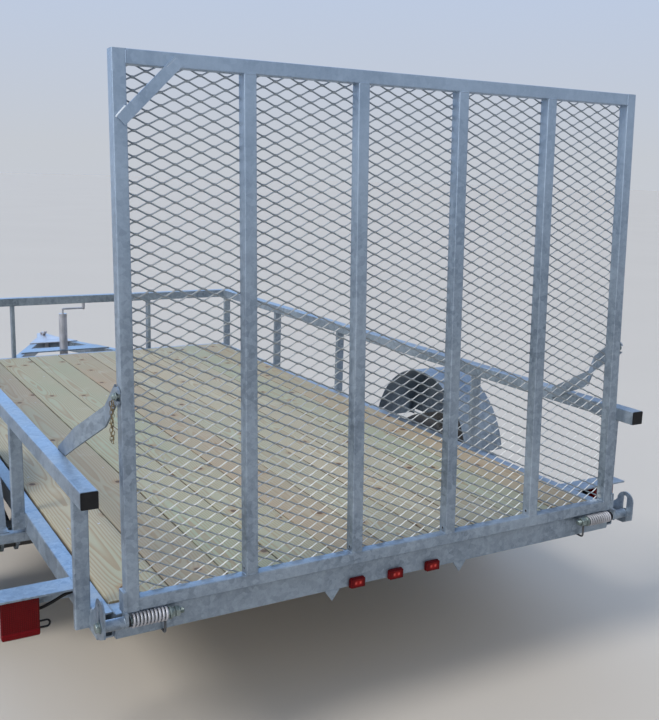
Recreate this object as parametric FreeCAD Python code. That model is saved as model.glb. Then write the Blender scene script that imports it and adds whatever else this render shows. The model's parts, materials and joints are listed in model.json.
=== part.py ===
import FreeCAD
import Part
import math
import os

# Single-axle open utility trailer with a tall mesh ramp gate. Millimetres.
# +X is to the right seen from behind, +Y is forward to the coupler, +Z is up.
# While it is built, y = 0 is the rear end of the side rails and z = 0 the ground.
V = FreeCAD.Vector

# Driving dimensions: bed and frame
FRAME_WIDTH = 2032.0
DECK_HEIGHT = 597.0
DECK_LENGTH = 3658.0
SIDE_TUBE_WIDTH = 50.8
FRAME_DEPTH = 76.2
BOARD_PROUD = 6.0
BOARD_COUNT = 10
BOARD_THICKNESS = 38.1
BOARD_GAP = 2.1
BOARD_SIDE_CLEARANCE = 3.0
BOARD_END_CLEARANCE = 1.0
SILL_Y = 33.4
SILL_DEPTH = 76.2
SIDE_REAR_Y = 55.0
TUBE_WALL = 4.8
TUBE_END_DEPTH = 60.0
FRONT_TUBE_DEPTH = 50.8
CROSS_WIDTH = 50.8
CROSS_COUNT = 5
LEDGE_WIDTH = 38.0
TUBE_CORNER = 4.0

# Rails and posts
RAIL_HEIGHT = 381.0
RAIL_TUBE = 50.8
POST_WIDTH = 45.0
POST_DEPTH = 22.0
POST_LIFT = 18.0
POST_Y = (115.0, 956.0, 2200.0, 2997.0)
FRONT_POST_X = 457.0
CAP_THICKNESS = 3.0
CAP_INSET = 1.0

# Ramp gate
GATE_SIDE_GAP = 73.0
GATE_HEIGHT = 1524.0
GATE_TUBE = 38.1
GATE_LEAN = 2.0
GATE_GAP = 8.0
UPRIGHT_COUNT = 4
GATE_CORNER = 3.0
MESH_SHORT_WAY = 34.0
MESH_LONG_WAY = 76.2
MESH_STRAND = 5.0
MESH_THICKNESS = 2.6
MESH_EDGE = 7.0
GUSSET_WIDTH = 31.8
GUSSET_THICKNESS = 5.0
GUSSET_CORNER = 170.0
GUSSET_INSET = 8.0

# Gate hinge and its assist spring
HINGE_BEHIND = 0.0
HINGE_DROP = 17.0
ROD_RADIUS = 9.5
ROD_CLEARANCE = 0.3
SLEEVE_RADIUS = 17.0
SLEEVE_GAP = 0.6
LUG_THICKNESS = 10.0
LUG_ROUND = 17.0
LUG_LIP = 4.0
LUG_RISE = 62.0
HINGE_PLATE_THICKNESS = 6.0
HINGE_PLATE_ROUND = 38.0
HINGE_PLATE_RISE = 84.0
HINGE_PLATE_DROP = 38.0
SLOT_RISE = 60.0
SPRING_RADIUS = 21.0
SPRING_WIRE = 7.0
SPRING_TURNS = 11
SPRING_PITCH = 10.4
SPRING_LUG_GAP = 7.0
SPRING_LEG_REACH = 26.0
NUT_RADIUS = 15.0
NUT_WIDTH = 14.0
COLLAR_RADIUS = 17.0
COLLAR_WIDTH = 9.0

# Gate latch arms
LATCH_THICKNESS = 6.0
LATCH_WIDTH = 62.0
LATCH_ROOT_Y = 430.0
LATCH_BEND_Y = (235.0, 150.0)
LATCH_BEND_RISE = (84.0, 162.0)
LATCH_EAR_GAP = 2.0
LATCH_PIN_RISE = 618.0
LATCH_PIN_RADIUS = 7.0
LATCH_SLOT_CLEARANCE = 4.0
LATCH_EAR_RADIUS = 26.0

# Running gear
AXLE_Y = 1430.0
WHEEL_OUT = 164.0
TYRE_RADIUS = 305.0
TYRE_WIDTH = 177.0
SIDEWALL_DROP = 62.0
SHOULDER_INSET = 17.0
RIM_WIDTH = 127.0
RIM_FLANGE_RADIUS = 178.0
BEAD_RADIUS = 165.0
RIM_WALL = 4.0
WINDOW_COUNT = 5
WINDOW_RADIUS = 17.0
WINDOW_CIRCLE = 112.0
HUB_FLANGE_RADIUS = 70.0
HUB_FLANGE_WIDTH = 12.0
HUB_RADIUS = 38.0
HUB_LENGTH = 95.0
HUB_CAP_RADIUS = 28.0
HUB_CAP_LENGTH = 42.0
SPINDLE_RADIUS = 15.0
SPINDLE_CLEARANCE = 0.3
SPINDLE_REACH = 32.0
AXLE_RADIUS = 30.0
AXLE_END_GAP = 12.0
SEAT_WIDTH = 44.0
SEAT_LENGTH = 50.0
LEAF_SPAN = 660.0
LEAF_RISE_SHARE = 0.58
LEAF_WIDTH = 45.0
LEAF_THICKNESS = 7.0
LEAF_SHARES = (1.0, 0.8, 0.58, 0.36)
EYE_RADIUS = 17.0
EYE_PIN_RADIUS = 8.0
EYE_CLEARANCE = 0.3
HANGER_PLATE = 6.0
HANGER_LENGTH = 70.0
HANGER_SIDE_GAP = 1.0
CLAMP_BOLT_RADIUS = 6.0
CLAMP_PLATE = 8.0

# Fenders
FENDER_GAP = 0.5
FENDER_WIDTH = 228.6
FENDER_RADIUS = 400.0
FENDER_RISE = 250.0
FENDER_SHEET = 3.0
FENDER_ROUND = 7.0
FENDER_BAR = 38.1
FENDER_BAR_INSET = 90.0
FENDER_FOOT = 60.0
SKIRT_LIFT = 29.0
SKIRT_END = 36.0
FENDER_BAR_GAP = 34.0

# Lamps
ARM_Y = 251.0
ARM_DEPTH = 89.0
ARM_SHEET = 6.0
ARM_DROP = 64.0
ARM_REACH = 274.0
LAMP_WIDTH = 112.0
LAMP_HEIGHT = 122.0
LAMP_LENS = 34.0
LAMP_END_GAP = 53.0
LAMP_SETBACK = 4.0
LAMP_BACK_INSET = 8.0
LAMP_ROUND = 6.0
ID_LAMP_X = -16.0
ID_LAMP_PITCH = 150.0
ID_LAMP_WIDTH = 59.0
ID_LAMP_HEIGHT = 36.0
ID_LAMP_DEPTH = 14.0
ID_LAMP_LIFT = -6.0
TAB_X = 256.0
TAB_WIDTH = 54.0
TAB_DROP = 36.0
TAB_SHEET = 4.0
LEAD_DIAMETER = 7.0

# Tongue, coupler and jack
TONGUE_LENGTH = 1220.0
TONGUE_HALF_ANGLE = 25.0
TONGUE_WIDTH = 50.8
TONGUE_DEPTH = 76.2
TONGUE_NOSE_X = 42.0
TONGUE_NOSE_SETBACK = 150.0
TONGUE_SIDE_GAP = 14.6
BALL_RADIUS = 25.8
SOCKET_LENGTH = 26.0
COUPLER_NOSE_RADIUS = 38.0
COUPLER_PLATE = 6.0
COUPLER_PLATE_LENGTH = 230.0
COUPLER_DROP = 12.0
LEVER_WIDTH = 18.0
PIVOT_LENGTH = 34.0
PIVOT_RADIUS = 7.0
JACK_AHEAD = 551.6
JACK_TUBE_RADIUS = 28.5
JACK_LEG_RADIUS = 25.4
JACK_CLEARANCE = 0.4
JACK_TOP_ABOVE_DECK = 181.0
JACK_TUBE_BELOW = 90.0
JACK_TRAVEL = 250.0
JACK_TOP_SHEET = 8.0
JACK_PLATE = 8.0
JACK_PLATE_LENGTH = 130.0
JACK_FOOT_RADIUS = 62.0
JACK_FOOT_SHEET = 6.0
CRANK_RISE = 34.0
CRANK_ARM = 150.0
CRANK_ROD = 7.0
CRANK_GRIP = 70.0

# Levels and places worked out from the driving dimensions
FRAME_TOP = DECK_HEIGHT - BOARD_PROUD
FRAME_BOTTOM = FRAME_TOP - FRAME_DEPTH
FRAME_OUT = FRAME_WIDTH / 2
FRAME_IN = FRAME_OUT - SIDE_TUBE_WIDTH
POST_OUT = FRAME_OUT + RAIL_TUBE
DECK_REAR = SILL_Y + SILL_DEPTH
DECK_FRONT = DECK_REAR + DECK_LENGTH
FRAME_FRONT = DECK_FRONT + FRONT_TUBE_DEPTH
BOARD_BOTTOM = DECK_HEIGHT - BOARD_THICKNESS
RAIL_TOP = DECK_HEIGHT + RAIL_HEIGHT
RAIL_BOTTOM = RAIL_TOP - RAIL_TUBE
HINGE_Y = -HINGE_BEHIND
HINGE_Z = DECK_HEIGHT - HINGE_DROP
GATE_HALF = FRAME_OUT - GATE_SIDE_GAP
WHEEL_X = FRAME_OUT + WHEEL_OUT
AXLE_Z = TYRE_RADIUS
FENDER_IN = POST_OUT + FENDER_GAP
FENDER_OUT = FENDER_IN + FENDER_WIDTH
FENDER_Z = DECK_HEIGHT + FENDER_RISE - FENDER_RADIUS
FENDER_FOOT_Z = FRAME_BOTTOM
FENDER_HALF = math.sqrt(FENDER_RADIUS ** 2 - (FENDER_FOOT_Z - FENDER_Z) ** 2)
BALL_Y = FRAME_FRONT + TONGUE_LENGTH
JACK_Y = FRAME_FRONT + JACK_AHEAD
TONGUE_BOTTOM = FRAME_BOTTOM - TONGUE_DEPTH
HINGE_PLATE_REAR = HINGE_Y - HINGE_PLATE_ROUND
Y_CENTRE = (HINGE_PLATE_REAR + BALL_Y + COUPLER_NOSE_RADIUS) / 2


def box(x, y, z):
    """A block between the low and high values of x, y and z."""
    return Part.makeBox(x[1] - x[0], y[1] - y[0], z[1] - z[0], V(x[0], y[0], z[0]))


def round_edges(shape, radius, along):
    """The shape with each straight edge that runs along a direction rounded."""
    picked = [e for e in shape.Edges if abs(e.tangentAt(e.FirstParameter).dot(along)) > 0.999]
    return shape.makeFillet(radius, picked)


def bar(x, y, z, along, radius=TUBE_CORNER):
    """A closed rectangular tube: a block with its four long corners rounded."""
    return round_edges(box(x, y, z), radius, along)


X, Y, Z = V(1, 0, 0), V(0, 1, 0), V(0, 0, 1)


def rod(centre, axis, length, radius):
    """A round bar from a point along an axis."""
    return Part.makeCylinder(radius, length, centre, axis)


def face(points):
    """A flat face from its corners."""
    return Part.Face(Part.makePolygon(points + points[:1]))


def mirrored(shape):
    """The same piece on the other side of the trailer."""
    return shape.mirror(V(0, 0, 0), X)


def pair(shape):
    """A right-hand piece and its left-hand twin."""
    return [shape, mirrored(shape)]


def span(middle, width):
    return (middle - width / 2, middle + width / 2)


nodes = {}


# Frame, cross members and deck
def frame_pieces():
    side = bar((FRAME_IN, FRAME_OUT), (SIDE_REAR_Y, FRAME_FRONT), (FRAME_BOTTOM, FRAME_TOP), Y)
    side = side.cut(box((FRAME_IN + TUBE_WALL, FRAME_OUT - TUBE_WALL), (SIDE_REAR_Y - 1, SIDE_REAR_Y + TUBE_END_DEPTH),
                        (FRAME_BOTTOM + TUBE_WALL, FRAME_TOP - TUBE_WALL)))
    nodes["side_frame_right"] = side
    nodes["side_frame_left"] = mirrored(side)
    inner = (-FRAME_IN, FRAME_IN)
    nodes["rear_sill"] = bar(inner, (SILL_Y, DECK_REAR), (FRAME_BOTTOM, FRAME_TOP), X)
    nodes["front_member"] = bar(inner, (DECK_FRONT, FRAME_FRONT), (FRAME_BOTTOM, FRAME_TOP), X)
    pitch = DECK_LENGTH / (CROSS_COUNT + 1)
    supports = [span(DECK_REAR + pitch * (i + 1), CROSS_WIDTH) for i in range(CROSS_COUNT)]
    supports.append((DECK_REAR, DECK_REAR + LEDGE_WIDTH))
    supports.append((DECK_FRONT - LEDGE_WIDTH, DECK_FRONT))
    nodes["cross_members"] = Part.makeCompound(
        [bar(inner, y, (FRAME_BOTTOM, BOARD_BOTTOM), X, TUBE_CORNER / 2) for y in supports]
    )


def deck_boards():
    clear = 2 * (FRAME_IN - BOARD_SIDE_CLEARANCE)
    width = (clear - (BOARD_COUNT - 1) * BOARD_GAP) / BOARD_COUNT
    low = -clear / 2
    ends = (DECK_REAR + BOARD_END_CLEARANCE, DECK_FRONT - BOARD_END_CLEARANCE)
    boards = []
    for i in range(BOARD_COUNT):
        x = low + i * (width + BOARD_GAP)
        boards.append(box((x, x + width), ends, (BOARD_BOTTOM, DECK_HEIGHT)))
    nodes["deck_boards"] = Part.makeCompound(boards)


# Rails on posts at both sides and the front, open at the back for the gate
def rails_and_posts():
    level = (RAIL_BOTTOM, RAIL_TOP)
    side = bar((FRAME_OUT, POST_OUT), (0, FRAME_FRONT + RAIL_TUBE), level, Y)
    nodes["rail_right"] = side
    nodes["rail_left"] = mirrored(side)
    front_y = (FRAME_FRONT, FRAME_FRONT + RAIL_TUBE)
    nodes["rail_front"] = bar((-FRAME_OUT, FRAME_OUT), front_y, level, X)
    stand = (FRAME_BOTTOM + POST_LIFT, RAIL_BOTTOM)
    posts = []
    for y in POST_Y + (FRAME_FRONT - POST_DEPTH / 2,):
        posts += pair(bar((FRAME_OUT, FRAME_OUT + POST_WIDTH), span(y, POST_DEPTH), stand, Z))
    posts += pair(bar(span(FRONT_POST_X, POST_DEPTH), (FRAME_FRONT, FRAME_FRONT + POST_WIDTH), stand, Z))
    nodes["posts"] = Part.makeCompound(posts)
    cap = box((FRAME_OUT + CAP_INSET, POST_OUT - CAP_INSET), (-CAP_THICKNESS, 0),
              (RAIL_BOTTOM + CAP_INSET, RAIL_TOP - CAP_INSET))
    nodes["rail_caps"] = Part.makeCompound(pair(round_edges(cap, TUBE_CORNER - CAP_INSET, Y)))


# Fenders: a rolled top with an outer skirt, on feet that sit on two bars
def fender_solid(radius, x, low_z):
    """The filled form of the rolled top between two x values, cut level at low_z."""
    half = math.sqrt(radius ** 2 - (low_z - FENDER_Z) ** 2)
    ends = [V(x[0], AXLE_Y - half, low_z), V(x[0], AXLE_Y + half, low_z)]
    top = V(x[0], AXLE_Y, FENDER_Z + radius)
    wire = Part.Wire([Part.Arc(ends[0], top, ends[1]).toShape(), Part.makeLine(ends[1], ends[0])])
    return Part.Face(wire).extrude(V(x[1] - x[0], 0, 0))


def round_outer_arc(shape, x, radius):
    """The shape with its curved edge at one x value rounded."""
    arcs = [e for e in shape.Edges
            if isinstance(e.Curve, Part.Circle) and abs(e.CenterOfMass.x - x) < 0.1]
    return shape.makeFillet(radius, arcs)


def fender():
    foot_z = FENDER_FOOT_Z
    outer = fender_solid(FENDER_RADIUS, (FENDER_IN, FENDER_OUT), foot_z)
    outer = round_outer_arc(outer, FENDER_OUT, FENDER_ROUND)
    inner = fender_solid(FENDER_RADIUS - FENDER_SHEET, (FENDER_IN - 1, FENDER_OUT - FENDER_SHEET), foot_z - 1)
    shell = outer.cut(inner)
    skirt_half = FENDER_HALF - SKIRT_END
    shell = shell.cut(box((FENDER_IN - 1, FENDER_OUT + 1), (AXLE_Y - skirt_half, AXLE_Y + skirt_half),
                          (foot_z - 1, foot_z + SKIRT_LIFT)))
    for side in (-1, 1):
        near = AXLE_Y + side * (FENDER_HALF - FENDER_SHEET)
        far = AXLE_Y + side * (FENDER_HALF + FENDER_FOOT)
        shell = shell.fuse(box((FENDER_IN, FENDER_OUT - FENDER_BAR_INSET), sorted((near, far)),
                               (foot_z, foot_z + FENDER_SHEET)))
    return shell.removeSplitter()


def fenders():
    right = fender()
    nodes["fender_right"] = right
    nodes["fender_left"] = mirrored(right)
    level = (FRAME_BOTTOM - FENDER_BAR, FRAME_BOTTOM)
    reach = (FRAME_IN, FENDER_OUT - FENDER_BAR_INSET)
    bars = []
    for side in (-1, 1):
        middle = AXLE_Y + side * (FENDER_HALF + FENDER_BAR_GAP + FENDER_BAR / 2)
        bars += pair(bar(reach, span(middle, FENDER_BAR), level, X))
    nodes["fender_bars"] = Part.makeCompound(bars)


# Running gear: a straight axle on two leaf springs
SPRING_X = FRAME_OUT - SIDE_TUBE_WIDTH / 2
STACK_BOTTOM = AXLE_Z + AXLE_RADIUS
STACK_TOP = STACK_BOTTOM + len(LEAF_SHARES) * LEAF_THICKNESS
LEAF_CAMBER = LEAF_RISE_SHARE * (FRAME_BOTTOM - STACK_TOP)
LEAF_RADIUS = (LEAF_SPAN ** 2 / 4 + LEAF_CAMBER ** 2) / (2 * LEAF_CAMBER)
EYE_Z = STACK_TOP - LEAF_THICKNESS / 2 + LEAF_CAMBER


def axle():
    tube_half = WHEEL_X - HUB_LENGTH - AXLE_END_GAP
    shape = rod(V(-tube_half, AXLE_Y, AXLE_Z), X, 2 * tube_half, AXLE_RADIUS)
    half = WHEEL_X + SPINDLE_REACH
    shape = shape.fuse(rod(V(-half, AXLE_Y, AXLE_Z), X, 2 * half, SPINDLE_RADIUS))
    seat = box(span(SPRING_X, SEAT_WIDTH), span(AXLE_Y, SEAT_LENGTH), (AXLE_Z, STACK_BOTTOM))
    nodes["axle"] = shape.fuse(pair(seat)).removeSplitter()


def leaf(number, share):
    """One curved leaf of the stack; number 0 is the main leaf at the top."""
    inner = LEAF_RADIUS - LEAF_THICKNESS / 2 + number * LEAF_THICKNESS
    centre_z = STACK_TOP + LEAF_RADIUS - LEAF_THICKNESS / 2
    half = math.asin(LEAF_SPAN / 2 / LEAF_RADIUS) * share
    corners = []
    for radius in (inner, inner + LEAF_THICKNESS):
        for angle in (-half, 0, half):
            y = AXLE_Y + radius * math.sin(angle)
            corners.append(V(SPRING_X - LEAF_WIDTH / 2, y, centre_z - radius * math.cos(angle)))
    a, b, c, d, e, f = corners
    wire = Part.Wire([Part.Arc(a, b, c).toShape(), Part.makeLine(c, f),
                      Part.Arc(f, e, d).toShape(), Part.makeLine(d, a)])
    return Part.Face(wire).extrude(V(LEAF_WIDTH, 0, 0))


def leaf_springs():
    stack = leaf(0, LEAF_SHARES[0])
    for number, share in enumerate(LEAF_SHARES[1:], 1):
        stack = stack.fuse(leaf(number, share))
    eye_low = V(SPRING_X - LEAF_WIDTH / 2, 0, EYE_Z)
    holes = []
    for side in (-1, 1):
        centre = eye_low + V(0, AXLE_Y + side * LEAF_SPAN / 2, 0)
        stack = stack.fuse(rod(centre, X, LEAF_WIDTH, EYE_RADIUS))
        holes.append(rod(centre - V(1, 0, 0), X, LEAF_WIDTH + 2, EYE_PIN_RADIUS + EYE_CLEARANCE))
    stack = stack.cut(Part.makeCompound(holes)).removeSplitter()
    nodes["leaf_springs"] = Part.makeCompound(pair(stack))


def spring_hangers():
    """A folded bracket and its bolt round each eye, under the side frame."""
    out = LEAF_WIDTH / 2 + HANGER_SIDE_GAP + HANGER_PLATE
    low_z = EYE_Z - EYE_RADIUS - HANGER_SIDE_GAP
    hangers = []
    for side in (-1, 1):
        y = AXLE_Y + side * LEAF_SPAN / 2
        shell = box((SPRING_X - out, SPRING_X + out), span(y, HANGER_LENGTH), (low_z, FRAME_BOTTOM))
        space_x = (SPRING_X - out + HANGER_PLATE, SPRING_X + out - HANGER_PLATE)
        space_z = (low_z - 1, FRAME_BOTTOM - HANGER_PLATE)
        shell = shell.cut(box(space_x, span(y, HANGER_LENGTH + 2), space_z))
        pin = rod(V(SPRING_X - out, y, EYE_Z), X, 2 * out, EYE_PIN_RADIUS)
        hangers += pair(shell.fuse(pin).removeSplitter())
    nodes["spring_hangers"] = Part.makeCompound(hangers)


def axle_clamps():
    """A top plate and two round U-bolts that hold each spring to the axle."""
    bolt_y = AXLE_RADIUS + CLAMP_BOLT_RADIUS + 0.5
    bolt_x = LEAF_WIDTH / 2 + CLAMP_BOLT_RADIUS + 1
    plate_half_x = bolt_x + CLAMP_BOLT_RADIUS + 4
    plate_half_y = bolt_y + CLAMP_BOLT_RADIUS + 4
    seat = STACK_TOP + LEAF_RADIUS - math.sqrt(LEAF_RADIUS ** 2 - plate_half_y ** 2)
    top = (seat, seat + CLAMP_PLATE)
    clamp = box((SPRING_X - plate_half_x, SPRING_X + plate_half_x), (AXLE_Y - plate_half_y, AXLE_Y + plate_half_y), top)
    for side in (-1, 1):
        x = SPRING_X + side * bolt_x
        profile = face([V(x + dx, AXLE_Y - bolt_y + dy, AXLE_Z) for dx, dy in
                        ((-CLAMP_BOLT_RADIUS, -CLAMP_BOLT_RADIUS), (CLAMP_BOLT_RADIUS, -CLAMP_BOLT_RADIUS),
                         (CLAMP_BOLT_RADIUS, CLAMP_BOLT_RADIUS), (-CLAMP_BOLT_RADIUS, CLAMP_BOLT_RADIUS))])
        clamp = clamp.fuse(profile.revolve(V(x, AXLE_Y, AXLE_Z), X, 180))
        for leg in (-1, 1):
            clamp = clamp.fuse(rod(V(x, AXLE_Y + leg * bolt_y, AXLE_Z - 1), Z, top[1] - AXLE_Z + 9, CLAMP_BOLT_RADIUS))
    nodes["axle_clamps"] = Part.makeCompound(pair(clamp.removeSplitter()))


# Wheels, turned about X, with their outer side towards +X
def turned(profile):
    """A ring from a closed profile of (along the axle, radius) points, turned about the axle."""
    points = [V(x, 0, r) for x, r in profile]
    return face(points).revolve(V(0, 0, 0), X, 360)


def tyre():
    half = TYRE_WIDTH / 2
    bead = RIM_WIDTH / 2 - RIM_WALL
    a, b = V(-bead, 0, BEAD_RADIUS), V(-half, 0, TYRE_RADIUS - SIDEWALL_DROP)
    c = V(-half + SHOULDER_INSET, 0, TYRE_RADIUS)
    rim_edge = V(-bead, 0, RIM_FLANGE_RADIUS + 2)

    def other(p):
        return V(-p.x, 0, p.z)

    edges = [Part.makeLine(a, rim_edge), Part.makeLine(rim_edge, b), Part.makeLine(b, c)]
    edges += [Part.makeLine(c, other(c))]
    edges += [Part.makeLine(other(c), other(b)), Part.makeLine(other(b), other(rim_edge))]
    edges += [Part.makeLine(other(rim_edge), other(a)), Part.makeLine(other(a), a)]
    return Part.Face(Part.Wire(edges)).revolve(V(0, 0, 0), X, 360)


def rim():
    half = RIM_WIDTH / 2
    bead_in = half - RIM_WALL
    well, seat = BEAD_RADIUS - 18, BEAD_RADIUS
    barrel = turned([
        (-half, seat - RIM_WALL), (-half, RIM_FLANGE_RADIUS), (-bead_in, RIM_FLANGE_RADIUS), (-bead_in, seat),
        (bead_in, seat), (bead_in, RIM_FLANGE_RADIUS), (half, RIM_FLANGE_RADIUS), (half, seat - RIM_WALL),
        (22, seat - RIM_WALL), (16, well), (-16, well), (-22, seat - RIM_WALL),
    ])
    hole = HUB_CAP_RADIUS + 1
    disc = turned([
        (0, hole), (0, HUB_FLANGE_RADIUS + 4), (12, 90), (12, 134), (4, well + 1),
        (14, well + 1), (12 + RIM_WALL, 136), (12 + RIM_WALL, 88), (RIM_WALL, HUB_FLANGE_RADIUS + 2), (RIM_WALL, hole),
    ])
    shape = barrel.fuse(disc)
    for i in range(WINDOW_COUNT):
        angle = 2 * math.pi * i / WINDOW_COUNT
        centre = V(-20, WINDOW_CIRCLE * math.sin(angle), WINDOW_CIRCLE * math.cos(angle))
        shape = shape.cut(rod(centre, X, 60, WINDOW_RADIUS))
    return shape.removeSplitter()


def hub():
    body = turned([
        (-HUB_LENGTH, 0), (-HUB_LENGTH, HUB_RADIUS), (-HUB_FLANGE_WIDTH, HUB_RADIUS),
        (-HUB_FLANGE_WIDTH, HUB_FLANGE_RADIUS), (0, HUB_FLANGE_RADIUS), (0, HUB_CAP_RADIUS),
        (HUB_CAP_LENGTH - 8, HUB_CAP_RADIUS), (HUB_CAP_LENGTH, HUB_CAP_RADIUS - 8), (HUB_CAP_LENGTH, 0),
    ])
    depth = HUB_LENGTH + SPINDLE_REACH + 3
    return body.cut(rod(V(-HUB_LENGTH, 0, 0), X, depth, SPINDLE_RADIUS + SPINDLE_CLEARANCE))


def wheels():
    for name, make in (("tyre", tyre), ("rim", rim), ("hub", hub)):
        right = make()
        right.translate(V(WHEEL_X, AXLE_Y, AXLE_Z))
        nodes[name + "_right"] = right
        nodes[name + "_left"] = mirrored(right)


# Lamps: a square tail lamp under an arm at each side, three small ones on the sill
def lamps():
    arm_x = (FRAME_OUT, FRAME_OUT + ARM_REACH)
    arm_y = (ARM_Y, ARM_Y + ARM_DEPTH)
    arm = box(arm_x, arm_y, (FRAME_TOP - ARM_SHEET, FRAME_TOP))
    web = box(arm_x, (arm_y[1] - ARM_SHEET, arm_y[1]), (FRAME_TOP - ARM_DROP, FRAME_TOP - ARM_SHEET))
    nodes["lamp_arms"] = Part.makeCompound(pair(arm.fuse(web).removeSplitter()))
    lamp_x = (arm_x[1] - LAMP_END_GAP - LAMP_WIDTH, arm_x[1] - LAMP_END_GAP)
    lamp_z = (FRAME_TOP - ARM_SHEET - LAMP_HEIGHT, FRAME_TOP - ARM_SHEET)
    lens_y = (ARM_Y + LAMP_SETBACK, ARM_Y + LAMP_SETBACK + LAMP_LENS)
    lens = box(lamp_x, lens_y, lamp_z)
    nodes["tail_lamp_lenses"] = Part.makeCompound(pair(round_edges(lens, LAMP_ROUND, Y)))
    back_x = (lamp_x[0] + LAMP_BACK_INSET, lamp_x[1] - LAMP_BACK_INSET)
    back_z = (lamp_z[0] + LAMP_BACK_INSET, lamp_z[1] - LAMP_BACK_INSET)
    back = box(back_x, (lens_y[1], arm_y[1] - ARM_SHEET), back_z)
    nodes["tail_lamp_backs"] = Part.makeCompound(pair(round_edges(back, LAMP_ROUND, Y)))
    low = FRAME_BOTTOM + ID_LAMP_LIFT
    small = [box(span(ID_LAMP_X + i * ID_LAMP_PITCH, ID_LAMP_WIDTH), (SILL_Y - ID_LAMP_DEPTH, SILL_Y), (low, low + ID_LAMP_HEIGHT))
             for i in (-1, 0, 1)]
    nodes["id_lamps"] = Part.makeCompound([round_edges(s, LAMP_ROUND, Y) for s in small])
    tab = face([V(TAB_X - TAB_WIDTH / 2, SILL_Y, FRAME_BOTTOM), V(TAB_X + TAB_WIDTH / 2, SILL_Y, FRAME_BOTTOM),
                V(TAB_X, SILL_Y, FRAME_BOTTOM - TAB_DROP)]).extrude(V(0, TAB_SHEET, 0))
    nodes["sill_tabs"] = Part.makeCompound(pair(tab))


# A black lead hangs from the back of each tail lamp to a hole in the side frame.
# Each row is outward from the frame's face, forward of the arm's rear edge, down from the frame's top.
LEAD_POINTS = ((117.0, 60.0, 36.0), (97.0, 60.0, 36.0), (70.0, 54.0, 44.0), (44.0, 47.0, 38.0), (22.0, 42.0, 26.0),
               (0.0, 42.0, 26.0))


def round_path(points, share=0.45):
    """Straight runs joined by tangent arcs, each arc as large as its two runs allow."""
    edges, start = [], points[0]
    for before, corner, after in zip(points, points[1:], points[2:]):
        back, ahead = before - corner, after - corner
        cut = share * min(back.Length, ahead.Length)
        back.normalize()
        ahead.normalize()
        half_turn = (math.pi - back.getAngle(ahead)) / 2
        radius = cut / math.tan(half_turn)
        inward = (back + ahead).normalize()
        reach = radius / math.cos(half_turn) - radius
        first, last = corner + back * cut, corner + ahead * cut
        edges.append(Part.LineSegment(start, first).toShape())
        edges.append(Part.Arc(first, corner + inward * reach, last).toShape())
        start = last
        print("lead radius", round(radius, 1))
    edges.append(Part.LineSegment(start, points[-1]).toShape())
    return Part.Wire(edges)


def lamp_leads():
    points = [V(FRAME_OUT + out, ARM_Y + ahead, FRAME_TOP - down) for out, ahead, down in LEAD_POINTS]
    path = round_path(points)
    ring = Part.Wire([Part.makeCircle(LEAD_DIAMETER / 2, points[0], points[1] - points[0])])
    lead = path.makePipeShell([ring], True, False)
    print("lead length", round(path.Length, 1), "volume share", lead.Volume / (path.Length * math.pi * LEAD_DIAMETER ** 2 / 4))
    nodes["lamp_leads"] = Part.makeCompound(pair(lead))


# Gate hinge: slotted plates on the frame, and a coil spring round each rod
def hinge_plates():
    x = FRAME_OUT
    low, high = HINGE_Z - HINGE_PLATE_DROP, HINGE_Z + HINGE_PLATE_RISE - HINGE_PLATE_ROUND
    rear, front = HINGE_Y - HINGE_PLATE_ROUND, HINGE_Y + HINGE_PLATE_ROUND
    tail = POST_Y[0] - POST_DEPTH / 2
    a, b, c = V(x, rear, high), V(x, HINGE_Y, high + HINGE_PLATE_ROUND), V(x, front, high)
    d, e = V(x, tail, HINGE_Z - ROD_RADIUS), V(x, tail, low)
    f, g = V(x, HINGE_Y, low), V(x, rear, low + HINGE_PLATE_ROUND / 2)
    edges = [Part.Arc(a, b, c).toShape()]
    edges += [Part.makeLine(p, q) for p, q in ((c, d), (d, e), (e, f), (f, g), (g, a))]
    plate = Part.Face(Part.Wire(edges)).extrude(V(HINGE_PLATE_THICKNESS, 0, 0))
    half = ROD_RADIUS + ROD_CLEARANCE
    slot = rod(V(x - 1, HINGE_Y, HINGE_Z), X, HINGE_PLATE_THICKNESS + 2, half)
    slot = slot.fuse(rod(V(x - 1, HINGE_Y, HINGE_Z + SLOT_RISE), X, HINGE_PLATE_THICKNESS + 2, half))
    slot = slot.fuse(box((x - 1, x + HINGE_PLATE_THICKNESS + 1), span(HINGE_Y, 2 * half), (HINGE_Z, HINGE_Z + SLOT_RISE)))
    nodes["hinge_plates"] = Part.makeCompound(pair(plate.cut(slot)))


SPRING_OUT = GATE_HALF - SPRING_LUG_GAP
SPRING_IN = SPRING_OUT - SPRING_TURNS * SPRING_PITCH
SPRING_BORE = SPRING_RADIUS - SPRING_WIRE


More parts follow.
